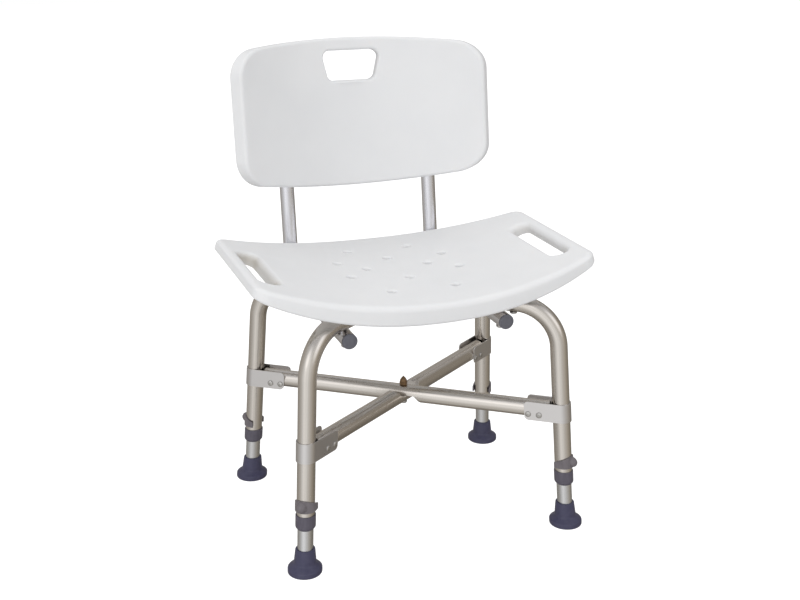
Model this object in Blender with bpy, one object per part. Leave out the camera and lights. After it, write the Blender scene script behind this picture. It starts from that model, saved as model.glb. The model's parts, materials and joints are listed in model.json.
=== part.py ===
"""Bath bench with a back, on a cross-braced frame of bent aluminium tube.

Metres, +Z up. The sitter faces -Y. The origin is on the ground, under the middle of the whole bench.
Every leg leans outward towards its foot, and all four feet slide out to raise the seat.
"""

import math

import bmesh
import bpy
from mathutils import Matrix, Vector

# Clearances between pieces
GAP = 0.0003
HOLE_CLEARANCE = 0.0003

# Half the distance between the back tubes
BACK_TUBE_HALF_SPACING = 0.1172

# Legs: where their axes meet the ground, and how far each axis moves inward per metre of height
FOOT_PAST_BACK_TUBE = 0.0846
FOOT_X = BACK_TUBE_HALF_SPACING + FOOT_PAST_BACK_TUBE
FOOT_Y = 0.1543
LEAN_X = 0.0543
LEAN_Y = 0.0693

# Outer tube of the two leg frames
TUBE_RADIUS = 0.0127
TUBE_WALL = 0.0012
RUN_HEIGHT = 0.336
LEG_BEND_RADIUS = 0.065

# Straight bars that brace the legs
BAR_RADIUS = 0.0127
BAR_WALL = 0.0015
BAR_HEIGHT = 0.178
BAR_END_REACH = 0.017

# Pressed flats where two tubes cross
PRESS_MARGIN = 0.0010
PRESS_RAMP = 0.012

# Leg extensions
EXTENSION_RADIUS = 0.0111
EXTENSION_WALL = 0.0012
EXTENSION_LENGTH = 0.214
HOLE_PITCH = 0.0254
HOLE_COUNT = 5
LOCK_HOLE_RADIUS = 0.0031

# Rubber foot tips
TIP_HEIGHT = 0.035
TIP_TOP_RADIUS = 0.0139
TIP_WAIST_RADIUS = 0.0157
TIP_WAIST_HEIGHT = 0.016
TIP_FLANGE_RADIUS = 0.0242
TIP_FLANGE_HEIGHT = 0.0065
TIP_SOLE_BEVEL = 0.0018
TIP_FLANGE_ROUND = 0.0022
TIP_WAIST_FILLET = 0.0040
TIP_MOUTH_BEVEL = 0.0010
TIP_FLOOR = 0.007

# Collars at the lower ends of the legs
COLLAR_BOTTOM = 0.065
COLLAR_HEIGHT = 0.021
COLLAR_RADIUS = 0.0142
COLLAR_LIP = 0.004
COLLAR_TAPER = 0.0020
COLLAR_BEVEL = 0.0008

# Locking clips
CLIP_BOTTOM = 0.0925
CLIP_THUMB_HEIGHT = 0.0175
CLIP_ARM_HEIGHT = 0.0085
CLIP_WALL = 0.0020
CLIP_ARM_LENGTH = 0.0080
CLIP_TAB_REACH = 0.0075
CLIP_TAB_WIDTH = 0.0135
CLIP_TAB_HEIGHT = 0.0160
PEG_HEIGHT = 0.1010
PEG_RADIUS = 0.0028

# Riveted brackets between the legs and the bars
BRACKET_WALL = 0.0016
BRACKET_HEIGHT = 0.028
BRACKET_REACH = 0.052
BRACKET_CORNER = 0.006
RIVET_REACHES = (0.030, 0.046)
RIVET_DROP = 0.005
RIVET_RADIUS = 0.0025
RIVET_HEAD_RADIUS = 0.0045
RIVET_TOP_RADIUS = 0.0027
RIVET_HEAD_HEIGHT = 0.0016

# Back tubes
BACK_TUBE_RADIUS = 0.0111
BACK_TUBE_WALL = 0.0012
BACK_TUBE_Y = 0.194
BACK_LEAN = 0.146
BACK_BEND_RADIUS = 0.050
BACK_TUBE_FRONT = -0.1035
BACK_TUBE_TOP = 0.2355
CAP_HEAD = 0.0035
CAP_SIDE = 0.0015
CAP_PLUG = 0.012
CAP_PLUG_CLEARANCE = 0.0003

# Seat
SEAT_HALF_LENGTH = 0.2468
SEAT_END_THICKNESS = 0.0165
SEAT_THINNING_POWER = 3.0
SEAT_ABOVE_RUN = 0.032
SEAT_TOP = RUN_HEIGHT + SEAT_ABOVE_RUN
SEAT_RISE = 0.0442
SEAT_RISE_REACH = 0.260
SEAT_RISE_POWER = 2.17
SEAT_FRONT = -0.1220
SEAT_FRONT_BOW = 0.0313
SEAT_REAR = 0.1365
SEAT_REAR_BOW = 0.0535
SEAT_CORNER = 0.024
SEAT_THICKNESS = 0.0287
SEAT_WEB = 0.016
SEAT_EDGE_ROUND = 0.009
SEAT_SKIRT = 0.011
SEAT_SKIRT_DRAFT = 0.003
SEAT_SKIRT_ROUND = 0.0045
SLOT_X = 0.216
SLOT_WIDTH = 0.026
SLOT_LENGTH = 0.150
SLOT_FLARE = 0.007
SLOT_FLARE_DEPTH = 0.007
SLOT_RIM_WALL = 0.0045
SLOT_RIM_DEPTH = 0.0245
DRAIN_RADIUS = 0.0055
DRAIN_FLARE = 0.0028
DRAIN_PLACES = (
    (0.0, 0.073), (0.0, -0.025),
    (0.0475, 0.119), (0.0475, 0.027), (0.0475, -0.082),
    (0.083, 0.059), (0.083, -0.009),
)

# Seat bosses and the screws that hold the seat
BOSS_PAST_BACK_TUBE = 0.019
BOSS_RADIUS = 0.011
SEAT_SCREW_RADIUS = 0.0024
SEAT_SCREW_HEAD_RADIUS = 0.0055
SEAT_SCREW_HEAD = 0.003
SEAT_SCREW_DEPTH = 0.018

# Backrest, on a plane through the back tubes
PANEL_HALF_WIDTH = 0.192
PANEL_SETBACK = 0.0076
PANEL_CURVE_DEPTH = 0.075
PANEL_THICKNESS = 0.024
PANEL_BOTTOM = 0.101
PANEL_TOP = 0.2945
PANEL_BOW = 0.0179
PANEL_CORNER = 0.045
PANEL_EDGE_ROUND = 0.005
CUTOUT_BOTTOM = 0.242
CUTOUT_TOP = 0.297
CUTOUT_TOP_HALF = 0.0515
CUTOUT_BOTTOM_HALF = 0.041
CUTOUT_CORNER = 0.012
CUTOUT_FLARE = 0.0045
CUTOUT_FLARE_DEPTH = 0.006
SOCKET_RADIUS = 0.0142
SOCKET_BOTTOM = 0.093
SOCKET_TOP_GAP = 0.0005
BACKREST_SCREW_PLACES = (0.125, 0.205)
BACKREST_SCREW_RADIUS = 0.0021
BACKREST_SCREW_HEAD_RADIUS = 0.0045
BACKREST_SCREW_HEAD = 0.0024
BACKREST_SCREW_LENGTH = 0.011

# Bolts and nuts
BOLT_RADIUS = 0.0029
BOLT_HEAD_RADIUS = 0.0056
BOLT_HEAD_HEIGHT = 0.0038
BOLT_TIP = 0.0025
HEAD_ROUNDING = 0.3
LOW_HEAD_HEIGHT = 0.0018
NUT_RADIUS = 0.0058
NUT_HEIGHT = 0.005
ACORN_RADIUS = 0.0062
ACORN_HEX_HEIGHT = 0.0055
ACORN_HEIGHT = 0.0135
ACORN_DOME_RADIUS = 0.0051
ACORN_CROWN = 0.0028
ACORN_BORE_CONE = 0.0018

# How finely round shapes are divided
TUBE_SIDES = 14
TURNED_SIDES = 16
FASTENER_SIDES = 8
HOLE_SIDES = 10
CORE_SIDES = 20
NUT_SIDES = 6
TAB_SEGMENTS = 12
TAB_RINGS = 8
BEND_STEPS = 5
CORNER_STEPS = 4
FLAP_CORNER_STEPS = 3
ROUND_PROFILE = 0.5
EDGE_STEPS = 8
SEAT_STRIP = 0.032
PANEL_STRIP = 0.024
SHARP_ANGLE = 35.0
DOME_ANGLES = (0.0, 30.0, 60.0, 90.0)

# Where the middle of a quarter round lies from its two faces, as a share of its radius
ROUND_MIDDLE = 1.0 - math.sqrt(0.5)

# How far a flared cutter runs on past the face it opens, as a share of its flare
FLARE_OVERSHOOT = 0.15

# Distances and turns below these count as none
TINY = 1e-6
STRAIGHT_TURN = 1e-3
NEARLY_UPRIGHT = 0.9
NEARLY_SQUARE = 0.99
CORNER_SEARCH_ROUNDS = 40

UP = Vector((0.0, 0.0, 1.0))
CORNERS = {"fl": (-1, -1), "fr": (1, -1), "bl": (-1, 1), "br": (1, 1)}

# Materials


def material(name, colour, roughness, metallic=0.0):
    """A Principled material of one colour."""
    made = bpy.data.materials.new(name)
    made.use_nodes = True
    shader = made.node_tree.nodes["Principled BSDF"]
    shader.inputs["Base Color"].default_value = (*colour, 1.0)
    shader.inputs["Roughness"].default_value = roughness
    shader.inputs["Metallic"].default_value = metallic
    made.diffuse_color = (*colour, 1.0)
    return made


# Mesh helpers


def finish_mesh(bm, name):
    """Turn a closed bmesh into a mesh with its faces pointing out."""
    bmesh.ops.recalc_face_normals(bm, faces=bm.faces)
    mesh = bpy.data.meshes.new(name)
    bm.to_mesh(mesh)
    bm.free()
    return mesh


def add_object(name, mesh, finish, parent, location=(0.0, 0.0, 0.0), turn=0.0):
    """Put a mesh in the scene under its empty, shaded smooth but for its sharp edges."""
    placed = bpy.data.objects.new(name, mesh)
    bpy.context.scene.collection.objects.link(placed)
    placed.parent = parent
    placed.location = location
    placed.rotation_euler = (0.0, 0.0, turn)
    if not mesh.materials:
        mesh.materials.append(finish)
    mesh.shade_smooth()
    mesh.set_sharp_from_angle(angle=math.radians(SHARP_ANGLE))
    return placed


def combine(base, tool, operation):
    """The union or difference of two closed meshes, as one mesh."""
    base_object = bpy.data.objects.new("base", base)
    tool_object = bpy.data.objects.new("tool", tool)
    bpy.context.scene.collection.objects.link(base_object)
    bpy.context.scene.collection.objects.link(tool_object)
    modifier = base_object.modifiers.new("combine", "BOOLEAN")
    modifier.solver = "EXACT"
    modifier.operation = operation
    modifier.object = tool_object
    graph = bpy.context.evaluated_depsgraph_get()
    made = bpy.data.meshes.new_from_object(base_object.evaluated_get(graph))
    bpy.data.objects.remove(base_object)
    bpy.data.objects.remove(tool_object)
    return made


def loft(bm, rings, close_path=False):
    """Skin rings of points that have equal counts; the ends are capped, or joined to each other."""
    skins = [[bm.verts.new(point) for point in ring] for ring in rings]
    pairs = list(zip(skins, skins[1:]))
    if close_path:
        pairs.append((skins[-1], skins[0]))
    for low, high in pairs:
        count = len(low)
        for index in range(count):
            after = (index + 1) % count
            bm.faces.new((low[index], low[after], high[after], high[index]))
    if not close_path:
        bm.faces.new(skins[0])
        bm.faces.new(skins[-1])


def turned(profile, sides, closed=False):
    """A solid turned about Z from (radius, height) points; a closed profile makes a ring."""
    bm = bmesh.new()
    rings = []
    for radius, height in profile:
        if radius < TINY:
            rings.append([bm.verts.new((0.0, 0.0, height))])
            continue
        ring = []
        for index in range(sides):
            angle = 2.0 * math.pi * index / sides
            ring.append(bm.verts.new((radius * math.cos(angle), radius * math.sin(angle), height)))
        rings.append(ring)
    pairs = list(zip(rings, rings[1:]))
    if closed:
        pairs.append((rings[-1], rings[0]))
    for low, high in pairs:
        for index in range(sides):
            after = (index + 1) % sides
            if len(low) == 1:
                bm.faces.new((low[0], high[after], high[index]))
            elif len(high) == 1:
                bm.faces.new((low[index], low[after], high[0]))
            else:
                bm.faces.new((low[index], low[after], high[after], high[index]))
    return bm


def turned_solid(profile, sides):
    """A turned solid whose profile starts and ends on the axis."""
    return turned([(0.0, profile[0][1])] + list(profile) + [(0.0, profile[-1][1])], sides)


def dome_profile(radius, low, high):
    """Radius and height points of a domed end, from its rim to its top on the axis."""
    angles = [math.radians(degrees) for degrees in DOME_ANGLES]
    return [(radius * math.cos(angle), low + (high - low) * math.sin(angle)) for angle in angles]


def bore_round(radius, sides):
    """The corner radius of a faceted bore whose flats clear a round piece by the gap."""
    return (radius + GAP) / math.cos(math.pi / sides)


def add_rod(bm, start, end, radius, sides=FASTENER_SIDES):
    """Add a capped cylinder from start to end."""
    axis = (Vector(end) - Vector(start)).normalized()
    side = axis.orthogonal().normalized()
    other = axis.cross(side)
    rings = []
    for centre in (Vector(start), Vector(end)):
        ring = []
        for index in range(sides):
            angle = 2.0 * math.pi * index / sides
            ring.append(centre + radius * (math.cos(angle) * side + math.sin(angle) * other))
        rings.append(ring)
    loft(bm, rings)


def lean_mesh(bm, slope):
    """Slide every point along -X by its height times the slope, so level faces stay level."""
    for vertex in bm.verts:
        vertex.co.x -= slope * vertex.co.z


# Paths and tubes


def rounded_path(corners, radius, steps):
    """Points and directions along straight lines whose corners are rounded with arcs."""
    points = [Vector(corner) for corner in corners]
    path = [(points[0], (points[1] - points[0]).normalized())]
    for before, corner, after in zip(points, points[1:], points[2:]):
        way_in = (corner - before).normalized()
        way_out = (after - corner).normalized()
        turn = way_in.angle(way_out)
        if turn < STRAIGHT_TURN:
            path.append((corner, way_in))
            continue
        tangent = radius * math.tan(turn / 2.0)
        axis = way_in.cross(way_out).normalized()
        inward = axis.cross(way_in)
        start = corner - tangent * way_in
        centre = start + radius * inward
        for index in range(steps + 1):
            rotation = Matrix.Rotation(turn * index / steps, 3, axis)
            path.append((centre - rotation @ (radius * inward), rotation @ way_in))
    path.append((points[-1], (points[-1] - points[-2]).normalized()))
    return path


def tube_sides(path, anchor):
    """A side vector for each place on the path, without twist, level-free and upward at the anchor."""
    sides = [None] * len(path)
    direction = path[anchor][1]
    start = UP if abs(direction.z) < NEARLY_UPRIGHT else Vector((1.0, 0.0, 0.0))
    sides[anchor] = (start - start.project(direction)).normalized()
    for step, stop in ((1, len(path)), (-1, -1)):
        for index in range(anchor + step, stop, step):
            turn = path[index - step][1].rotation_difference(path[index][1])
            sides[index] = turn @ sides[index - step]
    return sides


def tube(path, radius, wall, sides=TUBE_SIDES, flatten=None):
    """A hollow tube along a path; flatten(point, depth) may press its wall."""
    anchor = len(path) // 2
    side_vectors = tube_sides(path, anchor)
    walls = []
    for wall_radius, depth in ((radius, 0.0), (radius - wall, wall)):
        rings = []
        for (centre, direction), side in zip(path, side_vectors):
            other = direction.cross(side)
            ring = []
            for index in range(sides):
                angle = 2.0 * math.pi * (index + 0.5) / sides
                point = centre + wall_radius * (math.cos(angle) * side + math.sin(angle) * other)
                ring.append(flatten(point, centre, depth) if flatten else point)
            rings.append(ring)
        walls.append(rings)
    outer, inner = walls
    bm = bmesh.new()
    loft(bm, outer + inner[::-1], close_path=True)
    return bm


def leg_point(corner, height):
    """The point of a leg's axis at a height."""
    side_x, side_y = CORNERS[corner]
    return Vector((side_x * (FOOT_X - LEAN_X * height), side_y * (FOOT_Y - LEAN_Y * height), height))


def leg_direction(corner):
    """Down a leg's axis, outward to its foot."""
    return (leg_point(corner, 0.0) - leg_point(corner, 1.0)).normalized()


def inward_at(corner, height):
    """The level direction from a leg to the middle of the bench, and that distance."""
    point = leg_point(corner, height)
    flat = Vector((point.x, point.y, 0.0))
    return -flat.normalized(), flat.length


LEG_SLOPE = math.hypot(LEAN_X, LEAN_Y)
LEG_TURNS = {
    name: math.atan2(side_y * LEAN_Y, side_x * LEAN_X) for name, (side_x, side_y) in CORNERS.items()
}
END_TILT = LEG_SLOPE * TUBE_RADIUS


def press_half_length(corner, height, radius):
    """How far from the middle a tube must be flat to let another of its size cross it."""
    inward, _ = inward_at(corner, height)
    half_angle = math.atan2(abs(inward.y), abs(inward.x))
    crossing = 2.0 * half_angle
    return radius * (1.0 + abs(math.cos(crossing))) / math.sin(crossing) + PRESS_MARGIN


def pressed(height, radius, wall_side, flat_half):
    """A rule that presses one side of a level tube to its axis near the middle of the bench.

    wall_side is 1 where the tube keeps its top and -1 where it keeps its underside.
    """
    def rule(point, centre, depth):
        distance = math.hypot(centre.x, centre.y)
        if distance > flat_half + PRESS_RAMP - TINY or abs(centre.z - height) > TINY:
            return point
        limit = height + wall_side * (GAP / 2.0 + depth)
        kept = max(wall_side * point.z, wall_side * limit)
        return Vector((point.x, point.y, wall_side * kept))
    return rule


# Leg frames


COLLAR_SEAT = COLLAR_BOTTOM + COLLAR_LIP
LEG_TUBE_END = COLLAR_SEAT + GAP + END_TILT
BACK_RUN_HEIGHT = RUN_HEIGHT - TUBE_RADIUS - GAP - BACK_TUBE_RADIUS


def run_point(corner, reach):
    """The point of a leg frame's level run at a distance from the middle."""
    inward, _ = inward_at(corner, RUN_HEIGHT)
    return Vector((-inward.x * reach, -inward.y * reach, RUN_HEIGHT))


def crossing_reach(corner):
    """How far from the middle a leg frame's run passes over a back tube."""
    inward, _ = inward_at(corner, RUN_HEIGHT)
    return BACK_TUBE_HALF_SPACING / abs(inward.x)


def back_tube_crossing(corner):
    """Where a leg frame's run passes over a back tube."""
    return run_point(corner, crossing_reach(corner))


def boss_point(corner):
    """Where a leg frame's run is screwed to the seat."""
    return run_point(corner, crossing_reach(corner) + BOSS_PAST_BACK_TUBE)


def outward_across(corner):
    """Square to a leg's axis, away from the middle of the bench."""
    side_x, side_y = CORNERS[corner]
    level = Vector((side_x * LEAN_X, side_y * LEAN_Y, 0.0)).normalized()
    axis = leg_direction(corner)
    return (level - level.project(axis)).normalized()


def leg_frame(first, second, wall_side):
    """One bent tube: a leg, the run under the seat, and the leg at the opposite corner."""
    flat_half = press_half_length(first, RUN_HEIGHT, TUBE_RADIUS)
    stops = (flat_half + PRESS_RAMP, flat_half)
    corners = [leg_point(first, LEG_TUBE_END), leg_point(first, RUN_HEIGHT)]
    corners += [run_point(first, stop) for stop in stops]
    corners += [run_point(second, stop) for stop in reversed(stops)]
    corners += [leg_point(second, RUN_HEIGHT), leg_point(second, LEG_TUBE_END)]
    path = rounded_path(corners, LEG_BEND_RADIUS, BEND_STEPS)
    rule = pressed(RUN_HEIGHT, TUBE_RADIUS, wall_side, flat_half)
    mesh = finish_mesh(tube(path, TUBE_RADIUS, TUBE_WALL, flatten=rule), "leg_frame")
    cutter = bmesh.new()
    reach = TUBE_RADIUS + GAP
    bolt_hole = BOLT_RADIUS + HOLE_CLEARANCE
    screw_hole = SEAT_SCREW_RADIUS + HOLE_CLEARANCE
    upright_holes = [(run_point(first, 0.0), bolt_hole)]
    for corner in (first, second):
        upright_holes.append((back_tube_crossing(corner), bolt_hole))
        upright_holes.append((boss_point(corner), screw_hole))
    for centre, radius in upright_holes:
        add_rod(cutter, centre - reach * UP, centre + reach * UP, radius)
    for corner in (first, second):
        centre = leg_point(corner, PEG_HEIGHT)
        add_rod(cutter, centre, centre + reach * outward_across(corner), LOCK_HOLE_RADIUS)
    return combine(mesh, finish_mesh(cutter, "holes"), "DIFFERENCE")


# Leg extensions, tips, collars and clips, made once for a leg whose foot is at the origin and leans along -X


LOCAL_AXIS = Vector((-LEG_SLOPE, 0.0, 1.0)).normalized()
LOCAL_OUTWARD = Vector((1.0, 0.0, LEG_SLOPE)).normalized()


def local_point(height):
    """A point of the leg's axis in the frame of its own foot."""
    return Vector((-LEG_SLOPE * height, 0.0, height))


def leg_extension():
    """The inner tube, with its row of locking holes on the outer side."""
    bottom = TIP_FLOOR + GAP + LEG_SLOPE * EXTENSION_RADIUS
    start = local_point(bottom)
    path = [(start, LOCAL_AXIS), (start + EXTENSION_LENGTH * LOCAL_AXIS, LOCAL_AXIS)]
    mesh = finish_mesh(tube(path, EXTENSION_RADIUS, EXTENSION_WALL), "leg_extension")
    cutter = bmesh.new()
    for index in range(HOLE_COUNT):
        centre = local_point(PEG_HEIGHT) + index * HOLE_PITCH * LOCAL_AXIS
        far_side = centre + (EXTENSION_RADIUS + GAP) * LOCAL_OUTWARD
        add_rod(cutter, centre, far_side, LOCK_HOLE_RADIUS)
    return combine(mesh, finish_mesh(cutter, "holes"), "DIFFERENCE")


def foot_tip():
    """A flared rubber tip with a flat sole and a socket for the extension."""
    bore = bore_round(EXTENSION_RADIUS, TURNED_SIDES)
    profile = [
        (TIP_FLANGE_RADIUS - TIP_SOLE_BEVEL, 0.0),
        (TIP_FLANGE_RADIUS, TIP_SOLE_BEVEL),
        (TIP_FLANGE_RADIUS, TIP_FLANGE_HEIGHT),
        (TIP_FLANGE_RADIUS - TIP_FLANGE_ROUND, TIP_FLANGE_HEIGHT + TIP_FLANGE_ROUND),
        (TIP_WAIST_RADIUS + TIP_WAIST_FILLET / 2.0, TIP_WAIST_HEIGHT - TIP_WAIST_FILLET),
        (TIP_WAIST_RADIUS, TIP_WAIST_HEIGHT),
        (TIP_TOP_RADIUS, TIP_HEIGHT - TIP_MOUTH_BEVEL),
        (TIP_TOP_RADIUS - TIP_MOUTH_BEVEL, TIP_HEIGHT),
        (bore, TIP_HEIGHT),
        (bore, TIP_FLOOR),
    ]
    bm = turned_solid(profile, TURNED_SIDES)
    lean_mesh(bm, LEG_SLOPE)
    return finish_mesh(bm, "foot_tip")


def leg_collar():
    """A plastic collar: the leg's tube stands on its lip and the extension slides through it."""
    top = COLLAR_BOTTOM + COLLAR_HEIGHT
    outer_bore = bore_round(TUBE_RADIUS, TURNED_SIDES)
    inner_bore = bore_round(EXTENSION_RADIUS, TURNED_SIDES)
    profile = [
        (inner_bore, COLLAR_BOTTOM),
        (COLLAR_RADIUS - COLLAR_TAPER, COLLAR_BOTTOM),
        (COLLAR_RADIUS, COLLAR_SEAT),
        (COLLAR_RADIUS, top - COLLAR_BEVEL),
        (COLLAR_RADIUS - COLLAR_BEVEL / 2.0, top),
        (outer_bore, top),
        (outer_bore, COLLAR_SEAT),
        (inner_bore, COLLAR_SEAT),
    ]
    bm = turned(profile, TURNED_SIDES, closed=True)
    lean_mesh(bm, LEG_SLOPE)
    return finish_mesh(bm, "leg_collar")


def clip_outline(radius):
    """The clip's path round the leg at a radius: an arm, the turn round the outer side, and an arm."""
    outline = [Vector((-CLIP_ARM_LENGTH, -radius, 0.0))]
    steps = TURNED_SIDES // 2
    for index in range(steps + 1):
        angle = math.pi * (index / steps - 0.5)
        outline.append(Vector((radius * math.cos(angle), radius * math.sin(angle), 0.0)))
    outline.append(Vector((-CLIP_ARM_LENGTH, radius, 0.0)))
    return outline


def locking_clip():
    """An open ring with a flat underside, a domed thumb tab and a short peg for the leg's hole."""
    inner_radius = bore_round(TUBE_RADIUS, TURNED_SIDES)
    outer_radius = inner_radius + CLIP_WALL
    full_width = CLIP_ARM_LENGTH + outer_radius
    rings = []
    for inner, outer in zip(clip_outline(inner_radius), clip_outline(outer_radius)):
        share = (outer.x + CLIP_ARM_LENGTH) / full_width
        height = CLIP_ARM_HEIGHT + (CLIP_THUMB_HEIGHT - CLIP_ARM_HEIGHT) * share
        low = Vector((0.0, 0.0, CLIP_BOTTOM))
        high = Vector((0.0, 0.0, CLIP_BOTTOM + height))
        rings.append([inner + low, outer + low, outer + high, inner + high])
    bm = bmesh.new()
    loft(bm, rings)
    lean_mesh(bm, LEG_SLOPE)
    ring = finish_mesh(bm, "ring")

    centre_height = CLIP_BOTTOM + CLIP_THUMB_HEIGHT / 2.0
    tab = bmesh.new()
    bmesh.ops.create_uvsphere(tab, u_segments=TAB_SEGMENTS, v_segments=TAB_RINGS, radius=1.0)
    depth = CLIP_TAB_REACH + CLIP_WALL
    for vertex in tab.verts:
        vertex.co.x = outer_radius - CLIP_WALL + depth * vertex.co.x
        vertex.co.y *= CLIP_TAB_WIDTH / 2.0
        vertex.co.z = centre_height + CLIP_TAB_HEIGHT / 2.0 * vertex.co.z
    lean_mesh(tab, LEG_SLOPE)
    core = bmesh.new()
    middle_radius = inner_radius + CLIP_WALL / 2.0
    low = local_point(CLIP_BOTTOM - CLIP_THUMB_HEIGHT)
    high = local_point(CLIP_BOTTOM + 2.0 * CLIP_THUMB_HEIGHT)
    add_rod(core, low, high, middle_radius, CORE_SIDES)
    tab_mesh = combine(finish_mesh(tab, "tab"), finish_mesh(core, "core"), "DIFFERENCE")
    clip = combine(ring, tab_mesh, "UNION")

    peg = bmesh.new()
    centre = local_point(PEG_HEIGHT)
    peg_start = centre + (EXTENSION_RADIUS + GAP) * LOCAL_OUTWARD
    add_rod(peg, peg_start, centre + middle_radius * LOCAL_OUTWARD, PEG_RADIUS)
    return combine(clip, finish_mesh(peg, "peg"), "UNION")


# Brace bars, brackets and rivets


def across(corner):
    """Level, square to a brace bar, at a corner."""
    inward, _ = inward_at(corner, BAR_HEIGHT)
    return UP.cross(inward)


def bar_place(corner, reach):
    """A point of a bar's axis at a distance from the leg's axis."""
    inward, _ = inward_at(corner, BAR_HEIGHT)
    return leg_point(corner, BAR_HEIGHT) + reach * inward


def rivet_place(corner, reach):
    """The middle of a rivet, below the bar's axis."""
    return bar_place(corner, reach) - RIVET_DROP * UP


def brace_bar(first, second, wall_side):
    """A straight bar between two opposite legs, pressed flat on one side where the other bar crosses."""
    flat_half = press_half_length(first, BAR_HEIGHT, BAR_RADIUS)
    path = [bar_place(first, BAR_END_REACH)]
    near, far = flat_half, flat_half + PRESS_RAMP
    for corner, stops in ((first, (far, near)), (second, (near, far))):
        inward, _ = inward_at(corner, BAR_HEIGHT)
        path += [Vector((0.0, 0.0, BAR_HEIGHT)) - stop * inward for stop in stops]
    path.append(bar_place(second, BAR_END_REACH))
    direction = (path[-1] - path[0]).normalized()
    rule = pressed(BAR_HEIGHT, BAR_RADIUS, wall_side, flat_half)
    places = [(point, direction) for point in path]
    mesh = finish_mesh(tube(places, BAR_RADIUS, BAR_WALL, flatten=rule), "brace_bar")
    cutter = bmesh.new()
    middle = Vector((0.0, 0.0, BAR_HEIGHT))
    reach = BAR_RADIUS + GAP
    add_rod(cutter, middle - reach * UP, middle + reach * UP, BOLT_RADIUS + HOLE_CLEARANCE)
    for corner in (first, second):
        for rivet_reach in RIVET_REACHES:
            centre = rivet_place(corner, rivet_reach)
            side = reach * across(corner)
            add_rod(cutter, centre - side, centre + side, RIVET_RADIUS + HOLE_CLEARANCE)
    return combine(mesh, finish_mesh(cutter, "holes"), "DIFFERENCE")


def strap_outline(radius, inward, side):
    """A strap's path round the leg at a radius: one flap, round the outer side, and the other flap."""
    steps = TURNED_SIDES // 2
    outline = [BRACKET_REACH * inward - radius * side]
    for index in range(steps + 1):
        angle = math.pi * index / steps
        turn_radius = radius if index in (0, steps) else radius / math.cos(math.pi / TURNED_SIDES)
        outline.append(-turn_radius * math.sin(angle) * inward - turn_radius * math.cos(angle) * side)
    outline.append(BRACKET_REACH * inward + radius * side)
    return outline


def crosses_flap(edge, side, inward, end):
    """Whether an edge runs through the wall of a flap, past a distance along the bar."""
    first, second = (vertex.co for vertex in edge.verts)
    way = (second - first).normalized()
    return abs(way.dot(side)) > NEARLY_SQUARE and min(first.dot(inward), second.dot(inward)) > end


def brace_bracket(corner):
    """A strap wrapped round the leg, with a flap on each side of the bar. It leans with the leg."""
    inward, _ = inward_at(corner, BAR_HEIGHT)
    side = across(corner)
    inner_radius = BAR_RADIUS + GAP
    outer_radius = inner_radius + BRACKET_WALL
    bottom = BAR_HEIGHT - BRACKET_HEIGHT / 2.0
    top = BAR_HEIGHT + BRACKET_HEIGHT / 2.0
    low = leg_point(corner, bottom)
    high = leg_point(corner, top)
    inner_path = strap_outline(inner_radius, inward, side)
    outer_path = strap_outline(outer_radius, inward, side)
    bm = bmesh.new()
    loft(bm, [[low + a, low + b, high + b, high + a] for a, b in zip(inner_path, outer_path)])
    end = low.dot(inward) + BRACKET_REACH - BRACKET_CORNER
    ends = [edge for edge in bm.edges if crosses_flap(edge, side, inward, end)]
    rounding = {"offset": BRACKET_CORNER, "segments": FLAP_CORNER_STEPS, "profile": ROUND_PROFILE}
    bmesh.ops.bevel(bm, geom=ends, affect="EDGES", **rounding)
    mesh = finish_mesh(bm, "brace_bracket")
    cutter = bmesh.new()
    for rivet_reach in RIVET_REACHES:
        centre = rivet_place(corner, rivet_reach)
        reach = (outer_radius + GAP) * side
        add_rod(cutter, centre - reach, centre + reach, RIVET_RADIUS + HOLE_CLEARANCE)
    return combine(mesh, finish_mesh(cutter, "holes"), "DIFFERENCE")


def bracket_rivet(corner, reach):
    """A rivet through both flaps and the bar, with a low dome at each end."""
    flap = BAR_RADIUS + GAP + BRACKET_WALL + GAP
    tip = flap + RIVET_HEAD_HEIGHT
    profile = [
        (RIVET_TOP_RADIUS, -tip),
        (RIVET_HEAD_RADIUS, -flap),
        (RIVET_RADIUS, -flap),
        (RIVET_RADIUS, flap),
        (RIVET_HEAD_RADIUS, flap),
        (RIVET_TOP_RADIUS, tip),
    ]
    bm = turned_solid(profile, FASTENER_SIDES)
    rotation = UP.rotation_difference(across(corner)).to_matrix().to_4x4()
    place = Matrix.Translation(rivet_place(corner, reach)) @ rotation
    bmesh.ops.transform(bm, matrix=place, verts=bm.verts)
    return finish_mesh(bm, "bracket_rivet")


# Bolts and nuts


def bolt_mesh(head_radius, head_height, shank_radius, shank_length):
    """A bolt or screw along +Z: the head below the plane z = 0, the shank above it."""
    profile = [
        (head_radius * (1.0 - HEAD_ROUNDING), -head_height),
        (head_radius, -head_height * (1.0 - HEAD_ROUNDING)),
        (head_radius, 0.0),
        (shank_radius, 0.0),
        (shank_radius, shank_length),
    ]
    return turned_solid(profile, FASTENER_SIDES)


def placed_mesh(bm, place, direction, name):
    """Turn a +Z shape to a direction, move it to a place and make its mesh."""
    rotation = UP.rotation_difference(Vector(direction)).to_matrix().to_4x4()
    bmesh.ops.transform(bm, matrix=Matrix.Translation(place) @ rotation, verts=bm.verts)
    return finish_mesh(bm, name)


def nut_mesh(place, direction):
    """A hexagonal nut whose base is at a place."""
    bore = bore_round(BOLT_RADIUS, NUT_SIDES)
    profile = [(NUT_RADIUS, 0.0), (NUT_RADIUS, NUT_HEIGHT), (bore, NUT_HEIGHT), (bore, 0.0)]
    return placed_mesh(turned(profile, NUT_SIDES, closed=True), place, direction, "nut")


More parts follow.
